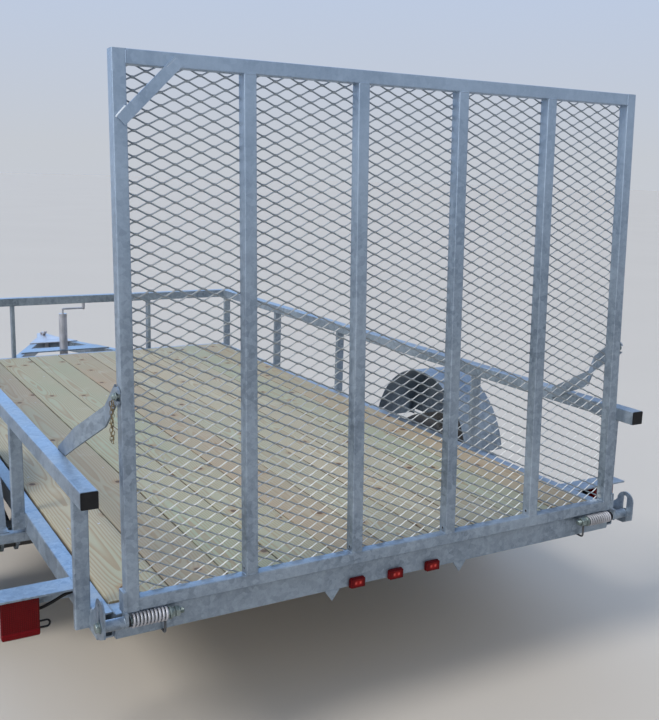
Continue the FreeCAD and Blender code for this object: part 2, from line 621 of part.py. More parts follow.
def gate_springs():
    """A closed coil as one turned ribbed sleeve, with the leg that hooks under the sill."""
    low, high, slant = SPRING_RADIUS - SPRING_WIRE / 2, SPRING_RADIUS, SPRING_PITCH * 0.3
    profile = [(SPRING_IN, SPRING_BORE)]
    for i in range(SPRING_TURNS):
        x = SPRING_IN + i * SPRING_PITCH
        profile += [(x, low), (x + slant, high), (x + SPRING_PITCH - slant, high)]
    profile += [(SPRING_OUT, low), (SPRING_OUT, SPRING_BORE)]
    coil = face([V(x, HINGE_Y, HINGE_Z + r) for x, r in profile]).revolve(V(0, HINGE_Y, HINGE_Z), X, 360)
    leg_y = HINGE_Y + SPRING_RADIUS - SPRING_WIRE / 2
    leg_x = SPRING_IN + SPRING_WIRE
    low = FRAME_BOTTOM - SPRING_WIRE / 2 - 0.5
    leg = rod(V(leg_x, leg_y, low), Z, HINGE_Z - low, SPRING_WIRE / 2)
    hook = rod(V(leg_x, leg_y, low), Y, SILL_Y + SPRING_LEG_REACH - leg_y, SPRING_WIRE / 2)
    elbow = Part.makeSphere(SPRING_WIRE / 2, V(leg_x, leg_y, low))
    nodes["gate_springs"] = Part.makeCompound(pair(coil.fuse([leg, hook, elbow])))


# Latch arms: a twice-bent flat bar on edge from each side rail's inner face to an ear beside the gate
def latch_arms():
    pin_y, pin_z = latch_pin_place()
    half = LATCH_WIDTH / 2
    rail_x, ear_x = FRAME_OUT - LATCH_THICKNESS, GATE_HALF + LATCH_EAR_GAP
    low_bend = (rail_x, LATCH_BEND_Y[0], RAIL_TOP + LATCH_BEND_RISE[0])
    high_bend = (ear_x, LATCH_BEND_Y[1], RAIL_TOP + LATCH_BEND_RISE[1])
    tip = (ear_x, pin_y + LATCH_EAR_RADIUS / 2, pin_z)

    def plate(corners):
        """A flat piece from its corners, thickened outward along X."""
        return face([V(*c) for c in corners]).extrude(V(LATCH_THICKNESS, 0, 0))

    def raised(point, rise):
        return (point[0], point[1], point[2] + rise)

    root = (rail_x, LATCH_ROOT_Y, (RAIL_TOP + RAIL_BOTTOM) / 2)
    arm = plate([raised(root, -half / 2), raised(root, half), raised(low_bend, half), raised(low_bend, -half)])
    for start, end in ((low_bend, high_bend), (high_bend, tip)):
        arm = arm.fuse(plate([raised(start, -half), raised(end, -half), raised(end, half), raised(start, half)]))
    arm = arm.fuse(rod(V(ear_x, pin_y, pin_z), X, LATCH_THICKNESS, LATCH_EAR_RADIUS)).removeSplitter()
    gap = LATCH_PIN_RADIUS + LATCH_SLOT_CLEARANCE
    slot_x = (ear_x - 1, ear_x + LATCH_THICKNESS + 1)
    slot = rod(V(slot_x[0], pin_y, pin_z), X, slot_x[1] - slot_x[0], gap)
    slot = slot.fuse(box(slot_x, (pin_y - 2 * LATCH_EAR_RADIUS, pin_y), span(pin_z, 2 * gap)))
    nodes["latch_arms"] = Part.makeCompound(pair(arm.cut(slot)))


# The gate is drawn upright about its hinge axis and then leaned forward.
# Its own y is measured from the axis to the rear face, and its own z from the axis to the foot.
GATE_REAR = HINGE_BEHIND
GATE_FOOT = GATE_GAP + HINGE_DROP
GATE_FRONT = GATE_REAR + GATE_TUBE
GATE_TOP = GATE_FOOT + GATE_HEIGHT


def stood(shape):
    """A gate piece from its own upright frame to its place on the trailer."""
    turned_shape = shape.copy()
    turned_shape.rotate(V(0, 0, 0), X, -GATE_LEAN)
    turned_shape.translate(V(0, HINGE_Y, HINGE_Z))
    return turned_shape


def latch_pin_place():
    """Where the latch pin's axis stands, as y and z on the trailer."""
    angle = math.radians(GATE_LEAN)
    y, z = GATE_REAR + GATE_TUBE / 2, GATE_FOOT + LATCH_PIN_RISE
    return HINGE_Y + y * math.cos(angle) + z * math.sin(angle), HINGE_Z + z * math.cos(angle) - y * math.sin(angle)


def gate_frame():
    depth = (GATE_REAR, GATE_FRONT)
    stile = bar((GATE_HALF - GATE_TUBE, GATE_HALF), depth, (GATE_FOOT, GATE_TOP), Z, GATE_CORNER)
    nodes["gate_stiles"] = Part.makeCompound([stood(s) for s in pair(stile)])
    inner = (-GATE_HALF + GATE_TUBE, GATE_HALF - GATE_TUBE)
    levels = ((GATE_FOOT, GATE_FOOT + GATE_TUBE), (GATE_TOP - GATE_TUBE, GATE_TOP))
    nodes["gate_rails"] = Part.makeCompound([stood(bar(inner, depth, z, X, GATE_CORNER)) for z in levels])
    clear = (inner[1] - inner[0] - UPRIGHT_COUNT * GATE_TUBE) / (UPRIGHT_COUNT + 1)
    height = (GATE_FOOT + GATE_TUBE, GATE_TOP - GATE_TUBE)
    uprights = []
    for i in range(UPRIGHT_COUNT):
        x = inner[0] + clear + i * (clear + GATE_TUBE)
        uprights.append(stood(bar((x, x + GATE_TUBE), depth, height, Z, GATE_CORNER)))
    nodes["gate_uprights"] = Part.makeCompound(uprights)


def gate_mesh():
    """Straight strands on the gate's front face: one layer that rises to the right, one that falls."""
    half_x = GATE_HALF - MESH_EDGE
    low, high = GATE_FOOT + MESH_EDGE, GATE_TOP - MESH_EDGE
    slope = MESH_SHORT_WAY / MESH_LONG_WAY
    thick = MESH_STRAND / 2 * math.hypot(1, slope)
    rise = slope * 2 * half_x
    count = int((high - low + rise) / MESH_SHORT_WAY)
    strands = []
    for i in range(1, count + 1):
        start = low - rise + i * MESH_SHORT_WAY
        x_low = max(-half_x, -half_x + (low + thick - start) / slope)
        x_high = min(half_x, -half_x + (high - thick - start) / slope)
        if x_high - x_low < MESH_LONG_WAY / 2:
            continue
        z_low, z_high = (start + slope * (x + half_x) for x in (x_low, x_high))
        corners = [V(x_low, GATE_FRONT, z_low - thick), V(x_high, GATE_FRONT, z_high - thick),
                   V(x_high, GATE_FRONT, z_high + thick), V(x_low, GATE_FRONT, z_low + thick)]
        strands.append(face(corners).extrude(V(0, MESH_THICKNESS, 0)))
    falling = []
    for strand in strands:
        twin = mirrored(strand)
        twin.translate(V(0, MESH_THICKNESS, 0))
        falling.append(twin)
    nodes["gate_mesh_rising"] = Part.makeCompound([stood(s) for s in strands])
    nodes["gate_mesh_falling"] = Part.makeCompound([stood(s) for s in falling])


def gate_fittings():
    corner_x, corner_z = -GATE_HALF, GATE_TOP
    cut = GUSSET_WIDTH * math.sqrt(0.5)
    a, b = corner_x + GUSSET_INSET, corner_z - GUSSET_INSET
    reach = GUSSET_CORNER - GUSSET_INSET
    gusset = face([V(a, GATE_REAR, b - reach), V(a + cut, GATE_REAR, b - reach - cut),
                   V(a + reach + cut, GATE_REAR, b - cut), V(a + reach, GATE_REAR, b)])
    nodes["gate_corner_bar"] = stood(gusset.extrude(V(0, -GUSSET_THICKNESS, 0)))
    lug_x = GATE_HALF
    lug = box((lug_x, lug_x + LUG_THICKNESS), (-LUG_LIP, GATE_FRONT), (GATE_FOOT, GATE_FOOT + LUG_RISE))
    lug = lug.fuse(box((lug_x, lug_x + LUG_THICKNESS), (-LUG_ROUND, LUG_ROUND), (0, GATE_FOOT + LUG_LIP)))
    lug = lug.fuse(rod(V(lug_x, 0, 0), X, LUG_THICKNESS, LUG_ROUND)).removeSplitter()
    lug = lug.cut(rod(V(lug_x - 1, 0, 0), X, LUG_THICKNESS + 2, ROD_RADIUS))
    nodes["gate_lugs"] = Part.makeCompound([stood(s) for s in pair(lug)])
    rod_out = FRAME_OUT + HINGE_PLATE_THICKNESS + SLEEVE_GAP
    rod_in = SPRING_IN - COLLAR_WIDTH - NUT_WIDTH - 8
    shaft = rod(V(rod_in, 0, 0), X, rod_out + 2 - rod_in, ROD_RADIUS)
    head = rod(V(rod_out, 0, 0), X, 6, ROD_RADIUS + 5)
    collar = rod(V(SPRING_IN - COLLAR_WIDTH - SLEEVE_GAP, 0, 0), X, COLLAR_WIDTH, COLLAR_RADIUS)
    nut = hexagon(V(SPRING_IN - COLLAR_WIDTH - SLEEVE_GAP - NUT_WIDTH, 0, 0), NUT_RADIUS, NUT_WIDTH)
    nodes["hinge_rods"] = Part.makeCompound([stood(s) for s in pair(shaft.fuse([head, collar, nut]))])
    sleeve_x = lug_x + LUG_THICKNESS
    sleeve = rod(V(sleeve_x, 0, 0), X, FRAME_OUT - SLEEVE_GAP - sleeve_x, SLEEVE_RADIUS)
    sleeve = sleeve.cut(rod(V(sleeve_x - 1, 0, 0), X, 200, ROD_RADIUS))
    nodes["hinge_sleeves"] = Part.makeCompound([stood(s) for s in pair(sleeve)])
    pin_place = V(GATE_HALF, GATE_REAR + GATE_TUBE / 2, GATE_FOOT + LATCH_PIN_RISE)
    pin_length = LATCH_EAR_GAP + LATCH_THICKNESS + 6
    pin = rod(pin_place, X, pin_length, LATCH_PIN_RADIUS)
    pin = pin.fuse(rod(pin_place + V(pin_length, 0, 0), X, 6, LATCH_PIN_RADIUS * 1.7))
    nodes["latch_pins"] = Part.makeCompound([stood(s) for s in pair(pin)])


def hexagon(start, radius, width):
    """A nut: a hexagonal block from a point along X."""
    points = [V(start.x, start.y + radius * math.cos(math.pi * i / 3), start.z + radius * math.sin(math.pi * i / 3))
              for i in range(6)]
    return face(points).extrude(V(width, 0, 0))


# Tongue, coupler and jack
def tongue_member():
    slope = math.tan(math.radians(TONGUE_HALF_ANGLE))
    half = TONGUE_WIDTH / 2 / math.cos(math.radians(TONGUE_HALF_ANGLE))
    nose_y = BALL_Y - TONGUE_NOSE_SETBACK
    tail_x = FRAME_IN - TONGUE_SIDE_GAP - half
    tail_y = nose_y - (tail_x - TONGUE_NOSE_X) / slope
    z = TONGUE_BOTTOM
    outline = face([V(TONGUE_NOSE_X - half, nose_y, z), V(TONGUE_NOSE_X + half, nose_y, z),
                    V(tail_x + half, tail_y, z), V(tail_x - half, tail_y, z)])
    return outline.extrude(V(0, 0, TONGUE_DEPTH))


def tongue_pieces():
    member = tongue_member()
    along = V(-math.sin(math.radians(TONGUE_HALF_ANGLE)), math.cos(math.radians(TONGUE_HALF_ANGLE)), 0)
    member = round_edges(member, TUBE_CORNER, along)
    nodes["tongue_right"] = member
    nodes["tongue_left"] = mirrored(member)
    low = TONGUE_BOTTOM - COUPLER_DROP
    nose_top = FRAME_BOTTOM + COUPLER_PLATE
    rear = BALL_Y - TONGUE_NOSE_SETBACK
    wide = TONGUE_NOSE_X + TONGUE_WIDTH / 2 / math.cos(math.radians(TONGUE_HALF_ANGLE))
    nose = rod(V(0, BALL_Y, low), Z, nose_top - low, COUPLER_NOSE_RADIUS)
    throat = face([V(-wide, rear, low), V(wide, rear, low), V(COUPLER_NOSE_RADIUS, BALL_Y, low),
                   V(-COUPLER_NOSE_RADIUS, BALL_Y, low)]).extrude(V(0, 0, nose_top - low))
    back = rear - COUPLER_PLATE_LENGTH
    flare = math.tan(math.radians(TONGUE_HALF_ANGLE)) * COUPLER_PLATE_LENGTH
    plate = face([V(-wide, rear, FRAME_BOTTOM), V(-wide - flare, back, FRAME_BOTTOM),
                  V(wide + flare, back, FRAME_BOTTOM), V(wide, rear, FRAME_BOTTOM)]).extrude(V(0, 0, COUPLER_PLATE))
    socket = rod(V(0, BALL_Y, low - 1), Z, SOCKET_LENGTH + 1, BALL_RADIUS)
    dome = Part.makeSphere(BALL_RADIUS, V(0, BALL_Y, low + SOCKET_LENGTH))
    # The latch lever's side view: y back from the ball, then height above the nose
    outline = ((6.0, 0.0), (0.0, 12.0), (16.0, 20.0), (70.0, 20.0), (124.0, 40.0), (128.0, 34.0), (82.0, 8.0), (74.0, 0.0))
    lever = face([V(-LEVER_WIDTH / 2, BALL_Y - back_by, nose_top + rise) for back_by, rise in outline])
    lever = lever.extrude(V(LEVER_WIDTH, 0, 0))
    pivot = rod(V(-PIVOT_LENGTH / 2, BALL_Y - 22, nose_top + 9), X, PIVOT_LENGTH, PIVOT_RADIUS)
    coupler = nose.fuse([throat, plate, lever, pivot]).removeSplitter()
    nodes["coupler"] = coupler.cut(socket.fuse(dome))


def jack():
    top = DECK_HEIGHT + JACK_TOP_ABOVE_DECK
    low = FRAME_BOTTOM - JACK_TUBE_BELOW
    centre = V(0, JACK_Y, 0)
    bore = JACK_LEG_RADIUS + JACK_CLEARANCE
    tube = rod(centre + V(0, 0, low), Z, top - low, JACK_TUBE_RADIUS)
    tube = tube.cut(rod(centre + V(0, 0, low - 1), Z, top - low - JACK_TOP_SHEET + 1, bore))
    nodes["jack_tube"] = tube
    slope = math.tan(math.radians(TONGUE_HALF_ANGLE))
    rear, front = span(JACK_Y, JACK_PLATE_LENGTH)
    reach = [TONGUE_NOSE_X + slope * (BALL_Y - TONGUE_NOSE_SETBACK - y) for y in (rear, front)]
    plate = face([V(-reach[0], rear, FRAME_BOTTOM), V(reach[0], rear, FRAME_BOTTOM),
                  V(reach[1], front, FRAME_BOTTOM), V(-reach[1], front, FRAME_BOTTOM)]).extrude(V(0, 0, JACK_PLATE))
    nodes["jack_plate"] = plate.cut(rod(centre, Z, top, JACK_TUBE_RADIUS))
    leg_top = top - JACK_TOP_SHEET - JACK_TRAVEL - 6
    leg = rod(centre, Z, leg_top, JACK_LEG_RADIUS)
    nodes["jack_leg"] = leg.fuse(rod(centre, Z, JACK_FOOT_SHEET, JACK_FOOT_RADIUS)).removeSplitter()
    head = V(0, JACK_Y, top)
    crank = rod(head, Z, CRANK_RISE, CRANK_ROD)
    arm = rod(head + V(0, 0, CRANK_RISE), X, CRANK_ARM, CRANK_ROD)
    elbow = Part.makeSphere(CRANK_ROD, head + V(0, 0, CRANK_RISE))
    end = head + V(CRANK_ARM, 0, CRANK_RISE)
    grip = rod(end, Z, CRANK_GRIP, CRANK_ROD * 1.6)
    knuckle = Part.makeSphere(CRANK_ROD * 1.6, end)
    nodes["jack_crank"] = crank.fuse([arm, elbow, grip, knuckle])


def build():
    for make in (frame_pieces, deck_boards, rails_and_posts, fenders, axle, leaf_springs, spring_hangers,
                 axle_clamps, wheels, lamps, lamp_leads, hinge_plates, gate_springs, latch_arms, gate_frame, gate_mesh,
                 gate_fittings, tongue_pieces, jack):
        make()


def export():
    os.makedirs("parts", exist_ok=True)
    for name, shape in nodes.items():
        placed = shape.copy()
        placed.translate(V(0, -Y_CENTRE, 0))
        placed.exportStep("parts/" + name + ".step")


build()
export()
print("shift along y", -Y_CENTRE)
print("hinge axis", HINGE_Y - Y_CENTRE, HINGE_Z)
print("axle axis", AXLE_Y - Y_CENTRE, AXLE_Z)
print("jack axis", JACK_Y - Y_CENTRE)
print("ball axis", BALL_Y - Y_CENTRE, TONGUE_BOTTOM - COUPLER_DROP)
print("nodes", len(nodes))
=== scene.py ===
"""Looks of an open utility trailer with a tall mesh ramp gate. Metres; +X right, +Y forward, +Z up."""

import json
import math

import bmesh
import bpy
import numpy as np
from mathutils import Matrix, Vector


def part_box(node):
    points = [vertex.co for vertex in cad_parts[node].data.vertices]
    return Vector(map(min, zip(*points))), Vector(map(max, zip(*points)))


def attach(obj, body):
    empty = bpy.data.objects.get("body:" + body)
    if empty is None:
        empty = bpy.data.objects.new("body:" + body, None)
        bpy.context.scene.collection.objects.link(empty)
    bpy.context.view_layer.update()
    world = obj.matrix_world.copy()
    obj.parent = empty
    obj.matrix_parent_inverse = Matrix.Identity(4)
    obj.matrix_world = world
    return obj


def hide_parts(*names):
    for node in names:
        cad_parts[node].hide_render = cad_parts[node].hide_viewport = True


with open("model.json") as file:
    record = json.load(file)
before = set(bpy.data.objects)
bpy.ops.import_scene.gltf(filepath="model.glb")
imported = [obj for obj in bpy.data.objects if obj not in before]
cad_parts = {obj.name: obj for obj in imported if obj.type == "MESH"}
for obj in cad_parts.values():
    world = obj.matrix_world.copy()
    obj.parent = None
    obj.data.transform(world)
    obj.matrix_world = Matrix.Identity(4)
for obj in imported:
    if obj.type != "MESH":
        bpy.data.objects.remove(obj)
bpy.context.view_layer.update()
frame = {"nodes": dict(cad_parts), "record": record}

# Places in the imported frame. SHIFT is the Y of the gate's hinge line, and other places are given from it
SHIFT = -2.5192
FRAME_HALF, SIDE_TUBE = 1.016, 0.0508
FRAME_BOTTOM, FRAME_TOP, DECK_TOP = 0.5148, 0.591, 0.597
SILL_REAR, DECK_REAR = 0.0334 + SHIFT, 0.1096 + SHIFT
DECK_FRONT, FRAME_FRONT = 3.7676 + SHIFT, 3.8184 + SHIFT
RAIL_TOP, RAIL_TUBE = 0.978, 0.0508
RAIL_LOW = RAIL_TOP - RAIL_TUBE
POST_PLACES = (0.115, 0.956, 2.2, 2.997)
AXLE_Y, AXLE_Z, WHEEL_X = 1.43 + SHIFT, 0.305, 1.18

# The gate, measured from its hinge line while it stands upright
HINGE, LEAN = np.array([0, SHIFT, 0.58]), math.radians(2)
GATE_HALF, GATE_TUBE = 0.943, 0.0381
GATE_REAR, GATE_FRONT = 0, 0.0381
GATE_FOOT, GATE_TOP = 0.025, 1.549
UPRIGHT_CLEAR = (2 * (GATE_HALF - GATE_TUBE) - 4 * GATE_TUBE) / 5
UPRIGHTS = [-GATE_HALF + GATE_TUBE + UPRIGHT_CLEAR + i * (UPRIGHT_CLEAR + GATE_TUBE) for i in range(4)]

# Deck boards and lamps
BOARD_COUNT, BOARD_WIDTH, BOARD_THICK = 10, 0.19055, 0.0381
BOARD_LOW, BOARD_PITCH, BOARDS_LEFT = -0.9622, 0.19265, -0.9632
BOARD_MIDDLES = BOARD_LOW + BOARD_WIDTH / 2 + np.arange(BOARD_COUNT) * BOARD_PITCH
TAIL_LOW, TAIL_HIGH = (1.125, 0.255 + SHIFT, 0.463), (1.237, 0.289 + SHIFT, 0.585)
ID_MIDDLE, ID_STEP = -0.016, 0.15
RNG = np.random.default_rng(7)


# Surfaces from numpy arrays
def unit(v):
    """The vectors, each divided by its length."""
    v = np.asarray(v, float)
    return v / np.linalg.norm(v, axis=-1, keepdims=True)


def quads(rows, cols, wrap_rows=False, wrap_cols=False):
    """The four-sided faces of a grid of points; either direction may close on itself."""
    i, j = np.meshgrid(np.arange(rows - (not wrap_rows)), np.arange(cols - (not wrap_cols)), indexing="ij")
    k, m = (i + 1) % rows, (j + 1) % cols
    return np.stack([i * cols + j, i * cols + m, k * cols + m, k * cols + j], -1).reshape(-1, 4).tolist()


def carried(rows, cols, closed=False):
    """The faces of an outline carried through its rows: in a ring, or with a face over either end."""
    faces = quads(rows, cols, closed, True)
    if not closed:
        faces += [list(range(cols)), list(range((rows - 1) * cols, rows * cols))]
    return faces


def xyz(x, y, z):
    """A list of points from their coordinates, each an array or one number for all the points."""
    return np.stack(np.broadcast_arrays(x, y, z), -1).reshape(-1, 3)


def merged(parts):
    """One list of points and one list of faces from several."""
    points, faces, start = [], [], 0
    for v, f in parts:
        v = np.asarray(v, float).reshape(-1, 3)
        points.append(v)
        faces += [[i + start for i in q] for q in f]
        start += len(v)
    return np.concatenate(points), faces


def repeated(part, places, turns=None):
    """The part copied to each place, each copy first turned by its own 3 by 3 matrix."""
    v, f = part
    v, places = np.asarray(v, float), np.asarray(places, float)
    turns = np.broadcast_to(np.eye(3), (len(places), 3, 3)) if turns is None else np.asarray(turns, float)
    points = np.einsum("nij,vj->nvi", turns, v) + places[:, None, :]
    faces = [[i + n * len(v) for i in q] for n in range(len(places)) for q in f]
    return points.reshape(-1, 3), faces


def moved(part, place):
    return part[0] + np.asarray(place, float), part[1]


def stacked(*rows):
    """Parts set along X: a row is a part and its distance."""
    return merged([moved(part, (x, 0, 0)) for part, x in rows])


def aimed(part, direction, place=(0, 0, 0)):
    """The part, drawn about +X, turned to point along the direction and set in place."""
    a = unit(direction)
    b = unit(np.cross(a, (0, 0, 1) if abs(a[2]) < 0.9 else (0, 1, 0)))
    return moved((part[0] @ np.stack([a, b, np.cross(a, b)]), part[1]), place)


def mirrored(part):
    """The same piece on the other side."""
    v, f = part
    return v * (-1, 1, 1), [q[::-1] for q in f]


def pair(part):
    return merged([part, mirrored(part)])


def stood(v):
    """Points of the upright gate, measured from its hinge, leaned forward and set in place."""
    v = np.asarray(v, float)
    x, y, z = v[..., 0], v[..., 1], v[..., 2]
    c, s = math.cos(LEAN), math.sin(LEAN)
    return np.stack([x, y * c + z * s, z * c - y * s], -1) + HINGE


def on_gate(part):
    return stood(part[0]), part[1]


def tube(path, radius, sides=10, up=(0, 0, 1), closed=False):
    """A round bar: at each point of the path a circle c + r (n cos a + b sin a), square to the path."""
    p = np.asarray(path, float)
    t = unit(np.roll(p, -1, 0) - np.roll(p, 1, 0) if closed else np.gradient(p, axis=0))
    n = unit(np.cross(t, up))
    b = np.cross(t, n)
    a = np.arange(sides) * 2 * math.pi / sides
    r = np.broadcast_to(radius, len(p))[:, None, None]
    rings = p[:, None] + r * (n[:, None] * np.cos(a)[None, :, None] + b[:, None] * np.sin(a)[None, :, None])
    return rings.reshape(-1, 3), carried(len(p), sides, closed)


def turned(profile, steps=32, shape=None, closed=False):
    """A surface turned about +X: a profile point (along, radius) goes to (along, r cos a, r sin a).
    shape gives r from the angle and the radius, so that a nut's six flats or a tread can vary it."""
    s, r = np.asarray(profile, float).T[:, :, None]
    a = np.arange(steps) * 2 * math.pi / steps
    if shape:
        r = shape(a, r, s)
    return xyz(s, r * np.cos(a), r * np.sin(a)), carried(len(s), steps, closed)


def rounded_box(lo, hi, radius, corner=4):
    """A block whose four corners along Y are arcs: a rounded outline carried between two y values,
    drawn in a little at both ends so that the rim is soft."""
    (x0, y0, z0), (x1, y1, z1) = lo, hi
    a = np.linspace(0, math.pi / 2, corner)
    quarter = np.stack([np.cos(a), np.sin(a)], 1)
    back = quarter[::-1]
    x0, x1, z0, z1 = x0 + radius, x1 - radius, z0 + radius, z1 - radius
    corners = ((x1, z1, quarter), (x0, z1, back * (-1, 1)), (x0, z0, -quarter), (x1, z0, back * (1, -1)))
    loop = np.concatenate([radius * arc + (x, z) for x, z, arc in corners])
    middle = np.array([(x0 + x1) / 2, (z0 + z1) / 2])
    soft = min(radius * 0.35, (y1 - y0) / 4)
    rows = []
    for y, inset in ((y0, soft), (y0 + soft * 0.3, soft * 0.3), (y0 + soft, 0), (y1 - soft, 0), (y1, soft)):
        ring = middle + (loop - middle) * (1 - inset / np.abs(loop - middle).max())
        rows.append(xyz(ring[:, 0], y, ring[:, 1]))
    return np.concatenate(rows), carried(len(rows), len(loop))


# Nuts, bolts and washers, drawn about +X
def hexagonal(across, rows):
    """A profile turned about +X and cut to six flats. Its radii are given in half widths across the flats,
    so that 2 lies past the corners and leaves the flats whole."""
    def shape(a, r, s):
        return np.minimum(across / 2 / np.cos((a + math.pi / 6) % (math.pi / 3) - math.pi / 6), r)

    return turned([(s, r * across / 2) for s, r in rows], 24, shape)


def nut(across, height):
    """A nut whose outer corners are cut by the cone that ends the profile."""
    return hexagonal(across, [(0, 2), (height * 0.86, 2), (height, 0.97), (height, 0.5)])


def bolt_head(across, height):
    """A hexagon head with its washer face and a shallow dish in the top."""
    step = 0.0006
    return hexagonal(across, [(0, 0.96), (step, 0.96), (step, 2), (height * 0.82, 2), (height, 0.95),
                              (height, 0.72), (height - step, 0.66), (height - step, 0)])


def washer(inner, outer, height):
    """A ring with its edges eased: a closed section turned about +X."""
    ease = height * 0.25
    return turned([(0, inner), (0, outer - ease), (ease, outer), (height - ease, outer),
                   (height, outer - ease), (height, inner)], 28, closed=True)


def threaded(end, radius):
    """A threaded end: the radius rises and falls once each 1.75 mm, and the tip is chamfered."""
    s = np.arange(0, end - 0.0012, 0.00175 / 2)
    r = radius - np.arange(len(s)) % 2 * 0.0007
    return turned(list(zip(s, r)) + [(end - 0.001, radius - 0.0006), (end, radius - 0.0016), (end, 0)], 20)


# Objects
def placed(name, data):
    obj = bpy.data.objects.new(name, data)
    bpy.context.scene.collection.objects.link(obj)
    return obj


def piece(name, part, body, slot, replaces=(), smooth=40, material=None):
    """One object from points and faces, with its faces turned outward and its sharp edges kept. Its
    material is the slot's own unless another is given."""
    v, f = part
    mesh = bpy.data.meshes.new(name)
    mesh.from_pydata(np.asarray(v).tolist(), [], f)
    work = bmesh.new()
    work.from_mesh(mesh)
    bmesh.ops.recalc_face_normals(work, faces=work.faces)
    work.to_mesh(mesh)
    work.free()
    mesh.polygons.foreach_set("use_smooth", np.ones(len(mesh.polygons), bool))
    mesh.set_sharp_from_angle(angle=math.radians(smooth))
    mesh.materials.append(material or MATERIALS[slot])
    obj = placed(name, mesh)
    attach(obj, body)
    if replaces:
        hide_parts(*replaces)
    return obj


# Shader arithmetic
class Value:
    """A shader number that +, -, * and / work on, each adding one Math node."""

    def __init__(self, graph, socket):
        self.graph, self.socket = graph, socket

    def maths(self, operation, *others):
        return self.graph.add("Math", self, *others, setup={"operation": operation})

    def __add__(self, o):
        return self.maths("ADD", o)

    def __mul__(self, o):
        return self.maths("MULTIPLY", o)

    def __sub__(self, o):
        return self.maths("SUBTRACT", o)

    def __truediv__(self, o):
        return self.maths("DIVIDE", o)

    def __abs__(self):
        return self.maths("ABSOLUTE")

    def __rsub__(self, o):
        return self * -1 + o

    __radd__, __rmul__ = __add__, __mul__

    def fade(self, low, high):
        """0 below low, 1 above high, with a smooth step between."""
        return self.graph.add("MapRange", self, low, high, 0, 1, setup={"interpolation_type": "SMOOTHSTEP"})


class Graph:
    """The node tree of a material or of the world, and the coordinates that it reads."""

    def __init__(self, owner, coordinates="Object"):
        owner.use_nodes = True
        self.owner, self.tree = owner, owner.node_tree
        self.tree.nodes.clear()
        self.place = self.add("TexCoord", out=coordinates)
        self.x, self.y, self.z = self.parts("SeparateXYZ", self.place)

    def join(self, socket, value):
        """Links a value to a socket, or sets a number, a vector or a colour of three numbers."""
        if isinstance(value, Value):
            self.tree.links.new(value.socket, socket)
        else:
            socket.default_value = (*value, 1) if socket.type == "RGBA" else value

    def add(self, kind, *values, setup=None, out=0, **named):
        """A node of a kind, set up first, with values or links for its inputs in order or by name."""
        node = self.tree.nodes.new("ShaderNode" + kind)
        for key, value in (setup or {}).items():
            setattr(node, key, value)
        for socket, value in zip(node.inputs, values):
            self.join(socket, value)
        for key, value in named.items():
            self.join(node.inputs[key.replace("_", " ")], value)
        return Value(self, node.outputs[out] if node.outputs else None)

    def parts(self, kind, value):
        """The three numbers that a Separate node gives."""
        return [Value(self, s) for s in self.add(kind, value).socket.node.outputs]

    def vector(self, x, y, z):
        return self.add("CombineXYZ", x, y, z)

    def noise(self, scale, detail=3, rough=0.55, at=None, out=0):
        return self.add("TexNoise", at or self.place, out=out, Scale=scale, Detail=detail, Roughness=rough)

    def streaks(self, x, y, z, detail=3, rough=0.55):
        """Noise drawn out along the axes with the smaller numbers."""
        return self.noise(1, detail, rough, self.vector(self.x * x, self.y * y, self.z * z))

    def cells(self, scale, random=1, at=None, out=0):
        return self.add("TexVoronoi", at or self.place, out=out, Scale=scale, Randomness=random)

    def mix(self, share, a, b):
        """The colour a going to b as share goes from 0 to 1."""
        node = self.tree.nodes.new("ShaderNodeMix")
        node.data_type = "RGBA"
        for i, value in ((0, share), (6, a), (7, b)):
            self.join(node.inputs[i], value)
        return Value(self, node.outputs[2])

    def surface(self, colour, rough, relief=None, **values):
        """The finished material. Its relief is a height, the distance that it stands for and a strength."""
        if relief:
            height, distance, strength = relief
            values["Normal"] = self.add("Bump", Strength=strength, Distance=distance, Height=height)
        self.add("OutputMaterial", self.add("BsdfPrincipled", Base_Color=colour, Roughness=rough, **values))
        return self.owner


def material_graph(name):
    return Graph(bpy.data.materials.new(name))


def made(draw):
    """Calls a function that draws a material, and gives the material the function's name."""
    return draw(material_graph(draw.__name__))


# Materials
PATCH_AT = (0.88, SHIFT + 0.046, 0.64)
LIP_TOP, SPOT_HEIGHT = 0.4825, 0.5275
TREAD_INNER, TREAD_OUTER = 0.288, 0.302


